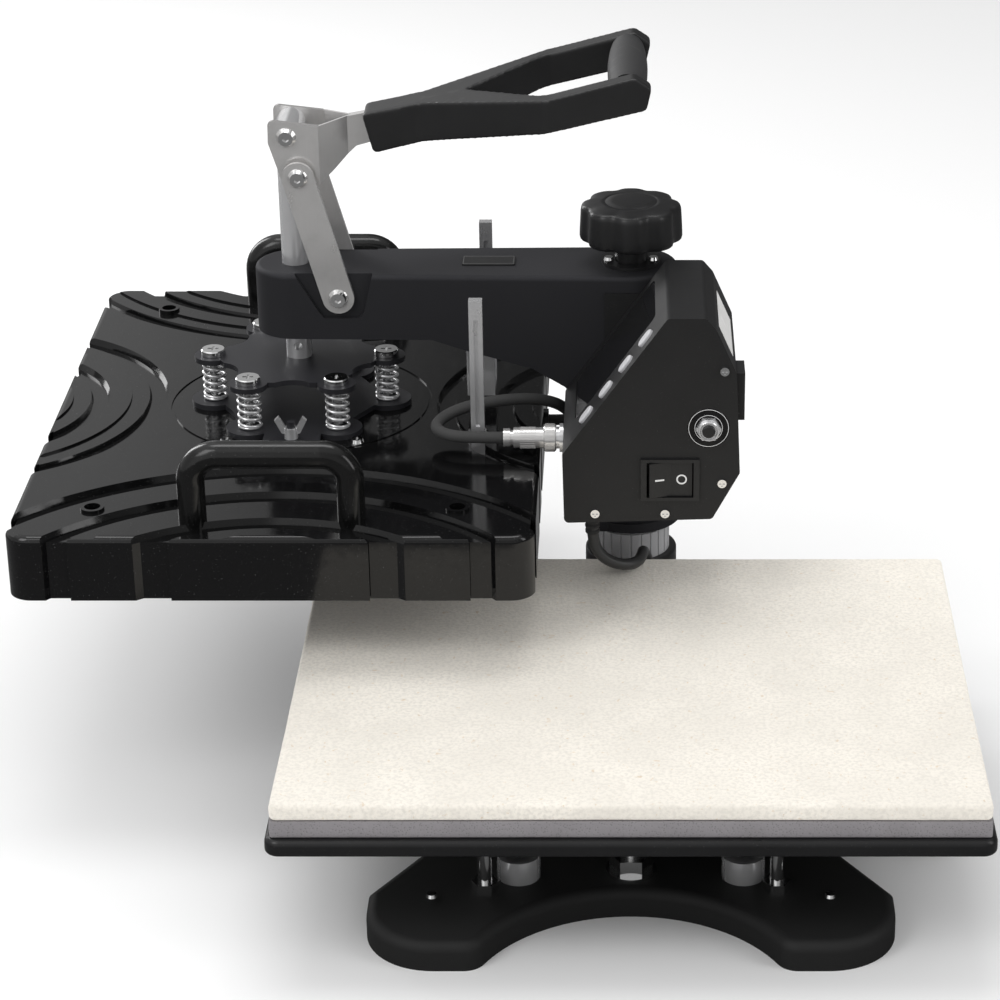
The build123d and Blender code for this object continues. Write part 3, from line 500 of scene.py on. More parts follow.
@dataclass(frozen=True)
class Glass(Finish):
    """Gloss-black display window with an unlit panel just behind it."""

    def paint(self, surface: Surface) -> None:
        smear = surface.grain(7, 3, (1.0, 0.3, 1.0))
        surface.set(
            Base_Color=surface.mix(smear.between(0.5, 0.9) * 0.3, self.colour, self.shade(2.0)),
            Roughness=smear.between(0.4, 0.9) * 0.06 + self.roughness,
            Normal=surface.bump(surface.grain(60, 1), 0.03),
            Coat_Weight=0.6,
            Coat_Roughness=0.02,
        )


@dataclass(frozen=True)
class Coated(Finish):
    """Non-stick coated aluminium: the heated face."""

    def paint(self, surface: Surface) -> None:
        orange = surface.grain(2.4, 2)
        cloud = surface.grain(50, 3, shift=1.2)
        surface.set(
            Base_Color=surface.mix(cloud, self.shade(0.85), self.shade(1.15)),
            Metallic=0.35,
            Roughness=orange * 0.12 + self.roughness,
            Normal=surface.bump(orange, 0.04),
        )


@dataclass(frozen=True)
class Board(Finish):
    """Circuit board with tracks under its solder mask."""

    def paint(self, surface: Surface) -> None:
        track = surface.cells(3.0, "DISTANCE_TO_EDGE").between(0.05, 0.12, 1.0, 0.0)
        surface.set(
            Base_Color=surface.mix(track * 0.5, self.colour, self.shade(2.0)),
            Roughness=track * 0.1 + self.roughness,
            Normal=surface.bump(track, 0.05),
        )


class Palette(Enum):
    """Every finish on the press."""

    BASE = Enamel("base_enamel", (0.008, 0.008, 0.0085), 0.22, 1.2, 0.02, 0.25)
    ARM = Enamel("arm_enamel", (0.0105, 0.0105, 0.011), 0.42, 0.9, 0.04)
    BOX = Enamel("box_powder_coat", (0.010, 0.010, 0.0105), 0.46, 0.8, 0.035)
    SPIDER = Enamel("spider_enamel", (0.006, 0.006, 0.006), 0.12, 3.0, 0.012, 0.4)
    PLATE = Enamel("plate_enamel", (0.009, 0.009, 0.0095), 0.30, 1.0, 0.02)
    SILVER = Enamel("silver_paint", (0.80, 0.80, 0.81), 0.30, 1.0, 0.02, 0.2)
    COVER = GlossMoulding("cover_moulding", (0.004, 0.004, 0.0042), 0.075)
    TUBE = GlossMoulding("tube_gloss", (0.005, 0.005, 0.005), 0.15)
    PLASTIC = Moulding("black_moulding", (0.0115, 0.0115, 0.012), 0.38)
    KNOB = Moulding("knob_moulding", (0.011, 0.011, 0.0115), 0.36, 0.8, 0.015)
    GRIP = Moulding("grip_moulding", (0.030, 0.030, 0.031), 0.55, 0.7, 0.03)
    RUBBER = Moulding("black_rubber", (0.016, 0.016, 0.016), 0.70, 1.4, 0.05)
    BUTTON = Moulding("button_grey", (0.135, 0.135, 0.14), 0.28, 0.6, 0.012)
    MARK = Moulding("mark_white", (0.80, 0.80, 0.80), 0.45, 0.5, 0.01)
    LABEL = Moulding("label_white", (0.78, 0.77, 0.75), 0.35, 2.0, 0.01)
    CHROME = Metal("polished_chrome", (0.86, 0.86, 0.87), 0.10, Lay.POLISHED, 0.03, 0.15)
    NICKEL = Metal("nickel_plate", (0.80, 0.79, 0.78), 0.15, Lay.ALONG_Z, 0.05, 0.25)
    ZINC = Metal("bright_zinc", (0.84, 0.84, 0.86), 0.15, Lay.POLISHED, 0.06, 0.35)
    WIRE = Metal("spring_wire", (0.82, 0.82, 0.83), 0.14, Lay.TURNED_Z, 0.05, 0.3)
    STEEL = Metal("machined_steel", (0.55, 0.55, 0.56), 0.26, Lay.TURNED_Z, 0.07, 0.4)
    BAR = Metal("bar_steel", (0.82, 0.82, 0.83), 0.16, Lay.ALONG_Z, 0.05, 0.3)
    FELT = Felt("needled_felt", (0.87, 0.825, 0.745), 0.86)
    FOAM = Foam("silicone_foam", (0.245, 0.232, 0.242), 0.74)
    CORD = Jacket("cord_jacket", (0.012, 0.012, 0.012), 0.40)
    BRAID = Braid("lead_braid", (0.014, 0.014, 0.014), 0.48)
    WOOL = Wool("glass_wool", (0.62, 0.58, 0.46), 0.9)
    WINDOW = Glass("display_gloss", (0.006, 0.006, 0.0065), 0.06)
    HEATED = Coated("coated_aluminium", (0.12, 0.12, 0.125), 0.34)
    BOARD = Board("circuit_board", (0.01, 0.09, 0.035), 0.4)

    @property
    def material(self) -> bpy.types.Material:
        """The finish's material."""
        return self.value.material()


NODE_FINISHES: Dict[Palette, Tuple[str, ...]] = {
    Palette.BASE: ("base_casting",),
    Palette.ARM: ("arm_casting",),
    Palette.BOX: ("box_shell", "side_panel"),
    Palette.SPIDER: ("lower_spider", "upper_spider"),
    Palette.PLATE: ("lower_plate", "platen_pillar"),
    Palette.SILVER: ("column_tube",),
    Palette.COVER: ("platen_cover",),
    Palette.TUBE: ("platen_handles",),
    Palette.PLASTIC: ("column_socket", "rocker_frame", "rocker_key", "lead_gland", "breaker_button",
                      "handle_fork", "mains_plug", "arm_badge", "knob_collar"),
    Palette.KNOB: ("knob",),
    Palette.GRIP: ("handle_grip",),
    Palette.RUBBER: ("base_feet", "strain_relief"),
    Palette.BUTTON: ("button_1", "button_2", "button_3", "button_4"),
    Palette.CHROME: ("guide_bracket", "press_rod", "wing_nut", "heater_socket", "bumper_cups",
                     "breaker_body"),
    Palette.NICKEL: ("toggle_links", "handle_bracket", "lead_connector"),
    Palette.ZINC: ("base_screws", "arm_screws", "arm_pivot_screws", "bracket_screws", "link_screws",
                   "spring_screws", "hub_nut", "level_studs"),
    Palette.STEEL: ("swivel_post", "knob_screw", "heating_element"),
    Palette.BAR: ("guide_bars",),
    Palette.WOOL: ("insulation_blanket",),
    Palette.WINDOW: ("display_window",),
    Palette.HEATED: ("heat_plate",),
    Palette.BOARD: ("control_board",),
}


# ---------------------------------------------------------------------------------------------
# Making and joining meshes
# ---------------------------------------------------------------------------------------------


def link(name: str, mesh: bpy.types.Mesh) -> bpy.types.Object:
    """A new object for a mesh, in the scene."""
    made = bpy.data.objects.new(name, mesh)
    bpy.context.scene.collection.objects.link(made)
    return made


def from_faces(name: str, points: Iterable[Point], faces: Iterable[Sequence[int]],
               finish: Palette, smooth: bool = True) -> bpy.types.Object:
    """A piece from its points and faces, its normals turned outwards.

    Args:
        name: the piece's name.
        points: its corners, in metres.
        faces: its faces, as point numbers.
        finish: its finish.
        smooth: whether it is shaded smooth.

    Returns:
        The piece.
    """
    mesh = bpy.data.meshes.new(name)
    mesh.from_pydata([tuple(p) for p in points], [], [tuple(f) for f in faces])
    body = bmesh.new()
    body.from_mesh(mesh)
    bmesh.ops.recalc_face_normals(body, faces=body.faces)
    body.to_mesh(mesh)
    body.free()
    for face in mesh.polygons:
        face.use_smooth = smooth
    mesh.materials.append(finish.material)
    return link(name, mesh)


def turned(name: str, profile: Sequence[Point], centre: Point, finish: Palette, around: int = 48,
           lobes: int = 0, scallop: float = 0.0) -> bpy.types.Object:
    """A piece turned about an upright axis, closed at both ends, with optional lobes.

    Args:
        name: the piece's name.
        profile: radius, height and how strongly the lobes show, from one end to the other.
        centre: where the axis meets height zero.
        finish: its finish.
        around: its divisions.
        lobes: lobes round the rim.
        scallop: how deep the hollows between them are.

    Returns:
        The piece.
    """
    points, faces, last = [], [], (len(profile) - 1) * around
    for r, z, weight in profile:
        for i in range(around):
            angle = 2 * pi * i / around
            reach = r - scallop * weight * (0.5 - 0.5 * cos(lobes * angle)) ** 2.0
            points.append((centre[0] + reach * cos(angle), centre[1] + reach * sin(angle), centre[2] + z))
    for ring in range(0, last, around):
        for i in range(around):
            j = (i + 1) % around
            faces.append((ring + i, ring + j, ring + around + j, ring + around + i))
    faces += [tuple(range(around)), tuple(range(last, last + around))]
    return from_faces(name, points, faces, finish)


def baked(source: bpy.types.Object, name: str) -> bpy.types.Object:
    """The object's evaluated mesh as a new, plain piece; the source is removed."""
    graph = bpy.context.evaluated_depsgraph_get()
    mesh = bpy.data.meshes.new_from_object(source.evaluated_get(graph))
    bpy.data.objects.remove(source)
    mesh.name = name
    return link(name, mesh)


class Builder(Tree):
    """A Geometry Nodes group with named inputs, applied to a mesh and baked.

    Args:
        name: the group's name.
        inputs: the socket type of each named input.
    """

    def __init__(self, name: str, inputs: Dict[str, str]) -> None:
        super().__init__(bpy.data.node_groups.new(name, "GeometryNodeTree"))
        face = self.data.interface
        face.new_socket("Geometry", in_out="INPUT", socket_type="NodeSocketGeometry")
        face.new_socket("Geometry", in_out="OUTPUT", socket_type="NodeSocketGeometry")
        self.keys = {
            label: face.new_socket(label, in_out="INPUT", socket_type="NodeSocket" + kind).identifier
            for label, kind in {**inputs, "Finish": "Material"}.items()
        }
        self.start = self.data.nodes.new("NodeGroupInput")
        self.end = self.data.nodes.new("NodeGroupOutput")

    def given(self, label: str = "Geometry") -> Wire:
        """One of the group's inputs."""
        return Wire(self, self.start.outputs[label])

    def close(self, geometry: Wire) -> None:
        """Realize, set the material and give the geometry back."""
        real = self.node("GeometryNodeRealizeInstances", {0: geometry})
        coated = self.node("GeometryNodeSetMaterial", {"Geometry": real, "Material": self.given("Finish")})
        self.feed(self.end.inputs[0], coated)

    def run(self, source: bpy.types.Object, name: str, finish: Palette, **values) -> bpy.types.Object:
        """Apply the group to an object and bake it.

        Args:
            source: the object it works on, which is used up.
            name: the new piece's name.
            finish: its finish.
            values: the group's inputs; an underscore stands for a space.

        Returns:
            The baked piece.
        """
        modifier = source.modifiers.new(name, "NODES")
        modifier.node_group = self.data
        modifier[self.keys["Finish"]] = finish.material
        for label, value in values.items():
            modifier[self.keys[label.replace("_", " ")]] = value
        made = baked(source, name)
        if not made.data.materials:
            made.data.materials.append(finish.material)
        return made


def tube_builder() -> Builder:
    """A tube along a line of points, with its coordinates round and along kept as a UV map."""
    group = Builder("tube", {"Radius": "Float"})
    line = group.node("GeometryNodeMeshToCurve", {0: group.given()})
    along = group.node("GeometryNodeSplineParameter", output="Length")
    line_kept = group.data.nodes.new("GeometryNodeCaptureAttribute")
    line_kept.capture_items.new("FLOAT", "along")
    group.feed(line_kept.inputs["Geometry"], line)
    group.feed(line_kept.inputs[1], along)
    ring = group.node("GeometryNodeCurveArc", {"Resolution": 17, "Radius": group.given("Radius"),
                                               "Start Angle": 0.0, "Sweep Angle": 2 * pi}, mode="RADIUS")
    round_it = group.node("GeometryNodeSplineParameter", output="Factor")
    ring_kept = group.data.nodes.new("GeometryNodeCaptureAttribute")
    ring_kept.capture_items.new("FLOAT", "round")
    group.feed(ring_kept.inputs["Geometry"], ring)
    group.feed(ring_kept.inputs[1], round_it)
    skin = group.node("GeometryNodeCurveToMesh", {0: Wire(group, line_kept.outputs[0]),
                                                  1: Wire(group, ring_kept.outputs[0])})
    both = group.node("ShaderNodeCombineXYZ", {0: Wire(group, ring_kept.outputs[1]),
                                               1: Wire(group, line_kept.outputs[1])})
    mapped = group.node("GeometryNodeStoreNamedAttribute", {"Geometry": skin, "Name": "UVMap", "Value": both},
                        data_type="FLOAT2", domain="CORNER")
    group.close(group.node("GeometryNodeMergeByDistance", {0: mapped, "Distance": 1e-6}))
    return group


def spring_builder() -> Builder:
    """Coil springs with closed ends, one standing on each point of a mesh."""
    group = Builder("springs", {"Turns": "Float", "Coil Radius": "Float", "Height": "Float",
                                "Wire Radius": "Float"})
    coil_r, wire_r, tall = (group.given(k) for k in ("Coil Radius", "Wire Radius", "Height"))
    spiral = group.node("GeometryNodeCurveSpiral", {
        "Resolution": 22, "Rotations": group.given("Turns"), "Start Radius": coil_r, "End Radius": coil_r,
        "Height": tall})
    wire = group.node("GeometryNodeCurvePrimitiveCircle", {"Resolution": 10, "Radius": wire_r})
    end = group.node("GeometryNodeCurvePrimitiveCircle", {"Resolution": 36, "Radius": coil_r})
    lift = group.node("ShaderNodeCombineXYZ", {2: tall})
    top = group.node("GeometryNodeTransform", {"Geometry": end, "Translation": lift})
    joined = group.data.nodes.new("GeometryNodeJoinGeometry")
    for part in (top, end, spiral):
        group.data.links.new(part.socket, joined.inputs[0])
    skin = group.node("GeometryNodeCurveToMesh", {0: Wire(group, joined.outputs[0]), 1: wire,
                                                  "Fill Caps": True})
    smooth = group.node("GeometryNodeSetShadeSmooth", {0: skin})
    group.close(group.node("GeometryNodeInstanceOnPoints", {"Points": group.given(), "Instance": smooth}))
    return group


def ridge_builder() -> Builder:
    """A ring of small ridges about an axis, such as a knurl."""
    group = Builder("ridges", {"Count": "Int", "Radius": "Float", "Size": "Vector", "Centre": "Vector",
                               "Turn": "Vector"})
    ring = group.node("GeometryNodeMeshCircle", {"Vertices": group.given("Count"),
                                                 "Radius": group.given("Radius")})
    where = group.node("GeometryNodeInputPosition")
    facing = group.node("FunctionNodeAlignRotationToVector", {"Vector": where}, axis="X")
    ridge = group.node("GeometryNodeMeshCube", {"Size": group.given("Size")})
    spread = group.node("GeometryNodeInstanceOnPoints", {"Points": ring, "Instance": ridge,
                                                         "Rotation": facing})
    placed = group.node("GeometryNodeTransform", {"Geometry": spread, "Translation": group.given("Centre"),
                                                  "Rotation": group.given("Turn")})
    group.close(placed)
    return group


# ---------------------------------------------------------------------------------------------
# Sub-assemblies
# ---------------------------------------------------------------------------------------------


@dataclass
class SoftPad:
    """A soft sheet of felt or foam, as large as its CAD node, with rounded and slightly worn edges.

    Args:
        node: the CAD node it stands for.
        finish: its finish.
        edge: the rounding of its edges, in metres.
        sway: how far its sides wander, in metres.
        rise: how far its top wanders, in metres.
        fill: how full it is, from 0 to 1; not used.
    """

    node: str
    finish: Palette
    edge: float
    sway: float
    rise: float
    fill: float

    def mesh(self) -> bpy.types.Object:
        """The pad as one closed, finely divided mesh."""
        low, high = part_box(self.node)
        body = bmesh.new()
        bmesh.ops.create_cube(body, size=1.0, matrix=Matrix.Translation((low + high) / 2)
                              @ Matrix.Diagonal((*(high - low), 1.0)))
        rims = [e for e in body.edges if abs(e.verts[0].co.z - e.verts[1].co.z) < 1e-6]
        corners = [e for e in body.edges if e not in rims]
        bmesh.ops.bevel(body, geom=corners, offset=self.edge * 1.6, segments=4, affect="EDGES", profile=0.5)
        outer = [e for e in body.edges if abs(e.verts[0].co.z - e.verts[1].co.z) < 1e-6]
        bmesh.ops.bevel(body, geom=outer, offset=self.edge, segments=4, affect="EDGES", profile=0.5)
        for axis, step in ((0, 0.009), (1, 0.009), (2, 0.003)):
            normal = Vector([1.0 if i == axis else 0.0 for i in range(3)])
            for i in range(1, int((high[axis] - low[axis]) / step)):
                cut = low.copy()
                cut[axis] += i * step
                bmesh.ops.bisect_plane(body, geom=body.verts[:] + body.edges[:] + body.faces[:], dist=1e-7,
                                       plane_co=cut, plane_no=normal)
        middle = (low + high) / 2
        for vert in body.verts:
            self.wander(vert, low, high, middle)
        bmesh.ops.recalc_face_normals(body, faces=body.faces)
        mesh = bpy.data.meshes.new(self.node + "_soft")
        body.to_mesh(mesh)
        body.free()
        for face in mesh.polygons:
            face.use_smooth = True
        mesh.materials.append(self.finish.material)
        return link(self.node + "_soft", mesh)

    def wander(self, vert: bmesh.types.BMVert, low: Vector, high: Vector, middle: Vector) -> None:
        """Move one point of the pad's sides and top a little."""
        wave = noise.noise(vert.co * 22.0) + 0.5 * noise.noise(vert.co * 75.0)
        up = max(0.0, (vert.co.z - low.z) / (high.z - low.z) - 0.7) / 0.3
        vert.co.z += up * self.rise * (wave - 0.6)
        mid_height = 1.0 - abs(2 * (vert.co.z - low.z) / (high.z - low.z) - 1.0)
        for axis in (0, 1):
            if min(abs(vert.co[axis] - low[axis]), abs(high[axis] - vert.co[axis])) < self.edge * 1.01:
                side = 1.0 if vert.co[axis] > middle[axis] else -1.0
                along = vert.co[1 - axis] - middle[1 - axis]
                pull = cos(pi * along / (high[1 - axis] - low[1 - axis]))
                vert.co[axis] -= side * self.sway * (0.5 * pull + 0.4 * abs(wave) + 0.3 * (1 - mid_height))

    def dress(self, body: str) -> None:
        pad = self.mesh()
        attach(pad, body)
        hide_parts(self.node)
        LOG.info("%s: %d faces", pad.name, len(pad.data.polygons))


@dataclass
class Lead:
    """A cord or lead: a smooth line through its route's points, with a tube along it.

    Args:
        name: the piece's name.
        route: the route's points, in millimetres.
        radius: the tube's radius, in metres.
        finish: its finish.
    """

    name: str
    route: Sequence[Point]
    radius: float
    finish: Palette
    line: List[Point] = field(default_factory=list)

    def smooth_line(self) -> List[Point]:
        """The points of the route's NURBS spline, in metres."""
        curve = bpy.data.curves.new(self.name + "_route", "CURVE")
        curve.dimensions = "3D"
        spline = curve.splines.new("NURBS")
        spline.points.add(len(self.route) - 1)
        for point, place in zip(spline.points, self.route):
            point.co = (*(c * MM for c in place), 1.0)
        spline.order_u = 3
        spline.use_endpoint_u = True
        spline.resolution_u = 7
        holder = bpy.data.objects.new(curve.name, curve)
        mesh = bpy.data.meshes.new_from_object(holder)
        points = [tuple(v.co) for v in mesh.vertices]
        bpy.data.objects.remove(holder)
        bpy.data.meshes.remove(mesh)
        return points

    def mesh(self, tubes: Builder) -> bpy.types.Object:
        """The tube, closed at both ends."""
        self.line = self.smooth_line()
        mesh = bpy.data.meshes.new(self.name + "_line")
        mesh.from_pydata(self.line, [(i, i + 1) for i in range(len(self.line) - 1)], [])
        tube = tubes.run(link(mesh.name, mesh), self.name, self.finish, Radius=self.radius)
        body = bmesh.new()
        body.from_mesh(tube.data)
        bmesh.ops.holes_fill(body, edges=[e for e in body.edges if e.is_boundary], sides=0)
        bmesh.ops.recalc_face_normals(body, faces=body.faces)
        body.to_mesh(tube.data)
        body.free()
        for face in tube.data.polygons:
            face.use_smooth = len(face.vertices) <= 4
        return tube

    @property
    def length(self) -> float:
        """The line's length, in metres."""
        return sum((Vector(b) - Vector(a)).length for a, b in zip(self.line, self.line[1:]))


@dataclass
class MainsCord:
    """The mains cord: out of the box, over the pad's corner, down behind the plate to a coil and its plug.

    Args:
        radius: the cord's radius, in metres.
        coil_centre: the coil's centre on the table, in millimetres.
        coil_radii: its first outer turn and its innermost turn, in millimetres.
        coil_heights: the cord's middle in the lower and the upper layer, in millimetres.
        coil_angles: where the cord comes to the coil and where it leaves, in degrees.
        spread: how much wider the upper layer ends than the lower one starts, in millimetres.
    """

    radius: float = 0.0035
    coil_centre: Tuple[float, float] = (128.0, -152.0)
    coil_radii: Tuple[float, float] = (48.5, 33.5)
    coil_heights: Tuple[float, float] = (3.62, 10.75)
    coil_angles: Tuple[float, float] = (70.0, 18.0)
    spread: float = 1.5

    def hanging(self) -> List[Point]:
        """The route's points from the strain relief to the coil."""
        return [
            (-23.0, -84.0, 138.0),
            (-23.0, -84.0, 127.0),
            (-20.0, -85.5, 118.0),
            (-12.5, -85.5, 111.5),
            (-3.0, -82.5, 107.8),
            (4.5, -76.0, 107.0),
            (7.0, -65.0, 107.0),
            (7.5, -53.0, 104.0),
            (10.0, -44.5, 94.0),
            (14.0, -40.5, 80.0),
            (17.0, -39.0, 66.0),
            (21.0, -42.0, 48.0),
            (31.0, -49.0, 33.0),
            (46.0, -57.5, 23.5),
            (64.0, -65.0, 21.4),
            (82.0, -74.0, 21.8),
            (99.0, -81.0, 19.5),
            (112.0, -83.0, 10.0),
            (121.0, -86.5, 4.7),
            (127.0, -95.0, 3.7),
        ]

    def on_coil(self, angle: float, radius: float, height: float) -> Point:
        """A point of the coil, by its angle in degrees and its radius and height in millimetres."""
        cx, cy = self.coil_centre
        return cx + radius * cos(radians(angle)), cy + radius * sin(radians(angle)), height

    def coil(self) -> List[Point]:
        """The coil's turns: inwards on the table, outwards on top, then off to the plug."""
        outer, inner = self.coil_radii
        low, high = self.coil_heights
        come, leave = self.coil_angles
        step, turns_in, turns_out, climb_steps = 24.0, 3, 2, 4
        points = []
        count = int(turns_in * 360 / step)
        for i in range(count + 1):
            points.append(self.on_coil(come - i * step, outer + (inner - outer) * (i / count), low))
        last = come - count * step
        count = int(((last - leave) % 360 + turns_out * 360) / step)
        for i in range(1, count + 1):
            climb = min(1.0, i / climb_steps)
            wide = inner + (outer + self.spread - inner) * (i / count)
            points.append(self.on_coil(last - i * step, wide, low + (high - low) * climb))
        return points + [(178.6, -164.0, 11.2), (178.0, -172.0, 12.0), (178.0, -186.0, 12.0)]

    def dress(self, tubes: Builder) -> None:
        lead = Lead("mains_cord", self.hanging() + self.coil(), self.radius, Palette.CORD)
        cord = lead.mesh(tubes)
        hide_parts("cord_upper", "cord_lower", "cord_coil")
        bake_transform(cord)
        round(lead.length, 2)
        2 * self.radius
        LOG.info("mains cord: %.3f m", lead.length)


@dataclass
class HeaterLead:
    """The braided lead from the box's connector, round the near guide bar, to the platen's gland.

    Args:
        radius: the lead's radius, in metres.
    """

    radius: float = 0.0035

    def dress(self, tubes: Builder) -> None:
        """Build the lead along its fixed route from the arm to the platen."""
        route = [
            (-74.0, -80.0, 190.5),
            (-92.0, -80.0, 190.5),
            (-109.0, -77.0, 190.4),
            (-118.0, -65.0, 190.8),
            (-111.0, -52.0, 193.5),
            (-95.0, -46.0, 197.5),
            (-77.0, -42.5, 199.0),
            (-60.0, -35.0, 197.0),
            (-46.0, -22.0, 189.0),
            (-38.5, -7.0, 177.0),
            (-34.5, 8.0, 166.0),
            (-38.0, 18.5, 160.0),
            (-52.5, 18.5, 160.0),
        ]
        lead = Lead("heater_lead_braid", route, self.radius, Palette.BRAID)
        tube = lead.mesh(tubes)
        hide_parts("heater_lead")
        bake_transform(tube)
        round(lead.length, 3)
        2 * self.radius
        LOG.info("heater lead: %.3f m", lead.length)


@dataclass
class Springs:
    """The six springs between the two spiders; the real ones shorten as the handle goes over, these keep
    their length.

    Args:
        count: springs round the shaft.
        circle_radius: radius of the circle that they stand on, in metres.
        turns: active turns.
        coil_radius: radius of the coil's centre line, in metres.
        wire_radius: radius of the wire, in metres.
    """

    count: int = 6
    circle_radius: float = 0.053
    turns: float = 5.0
    coil_radius: float = 0.0065
    wire_radius: float = 0.0010

    def dress(self) -> None:
        """Build the springs on the lower spider and hang them on the platen."""
        low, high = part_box("springs")
        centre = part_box("press_rod")
        x, y = (centre[0].x + centre[1].x) / 2, 0.0
        angles = [radians(360 / self.count * i) for i in range(self.count)]
        spots = [(x + self.circle_radius * cos(a), y + self.circle_radius * sin(a), low.z + self.wire_radius)
                 for a in angles]
        mesh = bpy.data.meshes.new("spring_feet")
        mesh.from_pydata(spots, [], [])
        coils = spring_builder().run(link("spring_feet", mesh), "coil_springs", Palette.WIRE,
                                     Turns=self.turns, Coil_Radius=self.coil_radius,
                                     Wire_Radius=self.wire_radius,
                                     Height=high.z - low.z - 2 * self.wire_radius)
        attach(coils, "platen")
        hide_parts("springs")
        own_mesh(coils)
        LOG.info("springs: %d faces", len(coils.data.polygons))


@dataclass
class Knob:
    """The lobed pressure knob: a short skirt, a crisp shoulder and a slightly crowned top with a faint ring.

    Args:
        rim: its largest radius, in metres.
        lobes: lobes round the rim.
        scallop: how deep the hollows between them are, in metres.
        around: its divisions.
    """

    rim: float = 0.031
    lobes: int = 8
    scallop: float = 0.0027
    around: int = 192

    def profile(self, tall: float) -> List[Point]:
        """The outline from the underside to the middle of the top.

        Args:
            tall: the knob's height.

        Returns:
            Radius, height and how strongly the lobes show there.
        """
        side = [(0.66, 0.20, 0.0), (0.70, 0.19, 0.0), (0.76, 0.02, 0.6), (0.80, 0.0, 0.8), (0.92, 0.0, 1.0),
                (0.955, 0.01, 1.0), (0.985, 0.05, 1.0), (1.0, 0.12, 1.0), (0.995, 0.30, 1.0),
                (0.985, 0.55, 1.0), (0.975, 0.76, 1.0), (0.968, 0.82, 1.0), (0.952, 0.87, 1.0),
                (0.925, 0.905, 1.0),
                (0.885, 0.925, 0.95), (0.80, 0.942, 0.75), (0.70, 0.957, 0.5), (0.60, 0.970, 0.25),
                (0.53, 0.978, 0.1), (0.515, 0.970, 0.0), (0.495, 0.970, 0.0), (0.48, 0.983, 0.0),
                (0.35, 0.993, 0.0), (0.20, 0.998, 0.0), (0.08, 1.0, 0.0)]
        return [(r * self.rim, z * tall, w) for r, z, w in side]

    def dress(self) -> None:
        """Build the knob round its screw."""
        low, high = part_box("knob")
        knob = turned("knob_moulding", self.profile(high.z - low.z), (0, 0, low.z), Palette.KNOB,
                      self.around, self.lobes, self.scallop)
        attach(knob, "knob")
        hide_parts("knob")
        LOG.info("knob: %d faces", len(knob.data.polygons))


@dataclass
class StrainRelief:
    """The ribbed rubber sleeve where the mains cord leaves the box.

    Args:
        length: how much of it shows, in metres.
        top: its radius at the box.
        tip: its radius at the free end.
        bore: the radius inside it.
        groove: how deep it is cut between the ribs.
        ribs: ribs along it.
    """

    length: float = 0.026
    top: float = 0.0058
    tip: float = 0.0043
    bore: float = 0.0020
    groove: float = 0.0009
    ribs: int = 7

    def dress(self) -> None:
        """Build the sleeve round the cord."""
        low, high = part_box("strain_relief")
        middle = (low + high) / 2
        step = self.length / (self.ribs + 1)
        profile = [(self.bore, 0.0, 0.0), (self.tip - 0.0005, 0.0, 0.0), (self.tip, 0.0006, 0.0)]
        for i in range(self.ribs):
            share = (i + 0.5) / (self.ribs + 1)
            r = self.tip + (self.top - self.tip) * share
            at = share * self.length
            profile += [(r, at + step * 0.2, 0.0), (r - self.groove, at + step * 0.34, 0.0),
                        (r - self.groove, at + step * 0.66, 0.0), (r, at + step * 0.8, 0.0)]
        inside_box = self.length + 0.0004
        profile += [(self.top, self.length - 0.0012, 0.0), (self.top, inside_box, 0.0),
                    (self.bore, inside_box, 0.0)]
        sleeve = turned("ribbed_relief", profile, (middle.x, middle.y, low.z), Palette.RUBBER)
        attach(sleeve, "arm")
        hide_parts("strain_relief")
        LOG.info("strain relief: %d faces", len(sleeve.data.polygons))


@dataclass
class SoftenedCasting:
    """A copy of a CAD node with its edges softened, as a moulding or casting has them.

    Args:
        node: the CAD node it stands for.
        body: the body it rides on.
        finish: its finish.
        voxel: the size of its mesh, in metres.
        passes: how many times it is smoothed.
    """

    node: str
    body: str
    finish: Palette
    voxel: float = 0.0009
    passes: int = 8

    def dress(self) -> None:
        """Build the softened piece."""
        copy = link(self.node + "_copy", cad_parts[self.node].data.copy())
        weld = copy.modifiers.new("weld", "WELD")
        weld.merge_threshold = 1e-6
        remesh = copy.modifiers.new("remesh", "REMESH")
        remesh.mode = "VOXEL"
        remesh.voxel_size = self.voxel
        smooth = copy.modifiers.new("smooth", "SMOOTH")
        smooth.factor = 0.5
        smooth.iterations = self.passes
        thin = copy.modifiers.new("thin", "DECIMATE")
        thin.ratio = 0.5
        made = baked(copy, self.node + "_soft")
        made.data.materials.clear()
        made.data.materials.append(self.finish.material)
        for face in made.data.polygons:
            face.use_smooth = True
        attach(made, self.body)
        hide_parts(self.node)
        LOG.info("%s: %d faces", made.name, len(made.data.polygons))


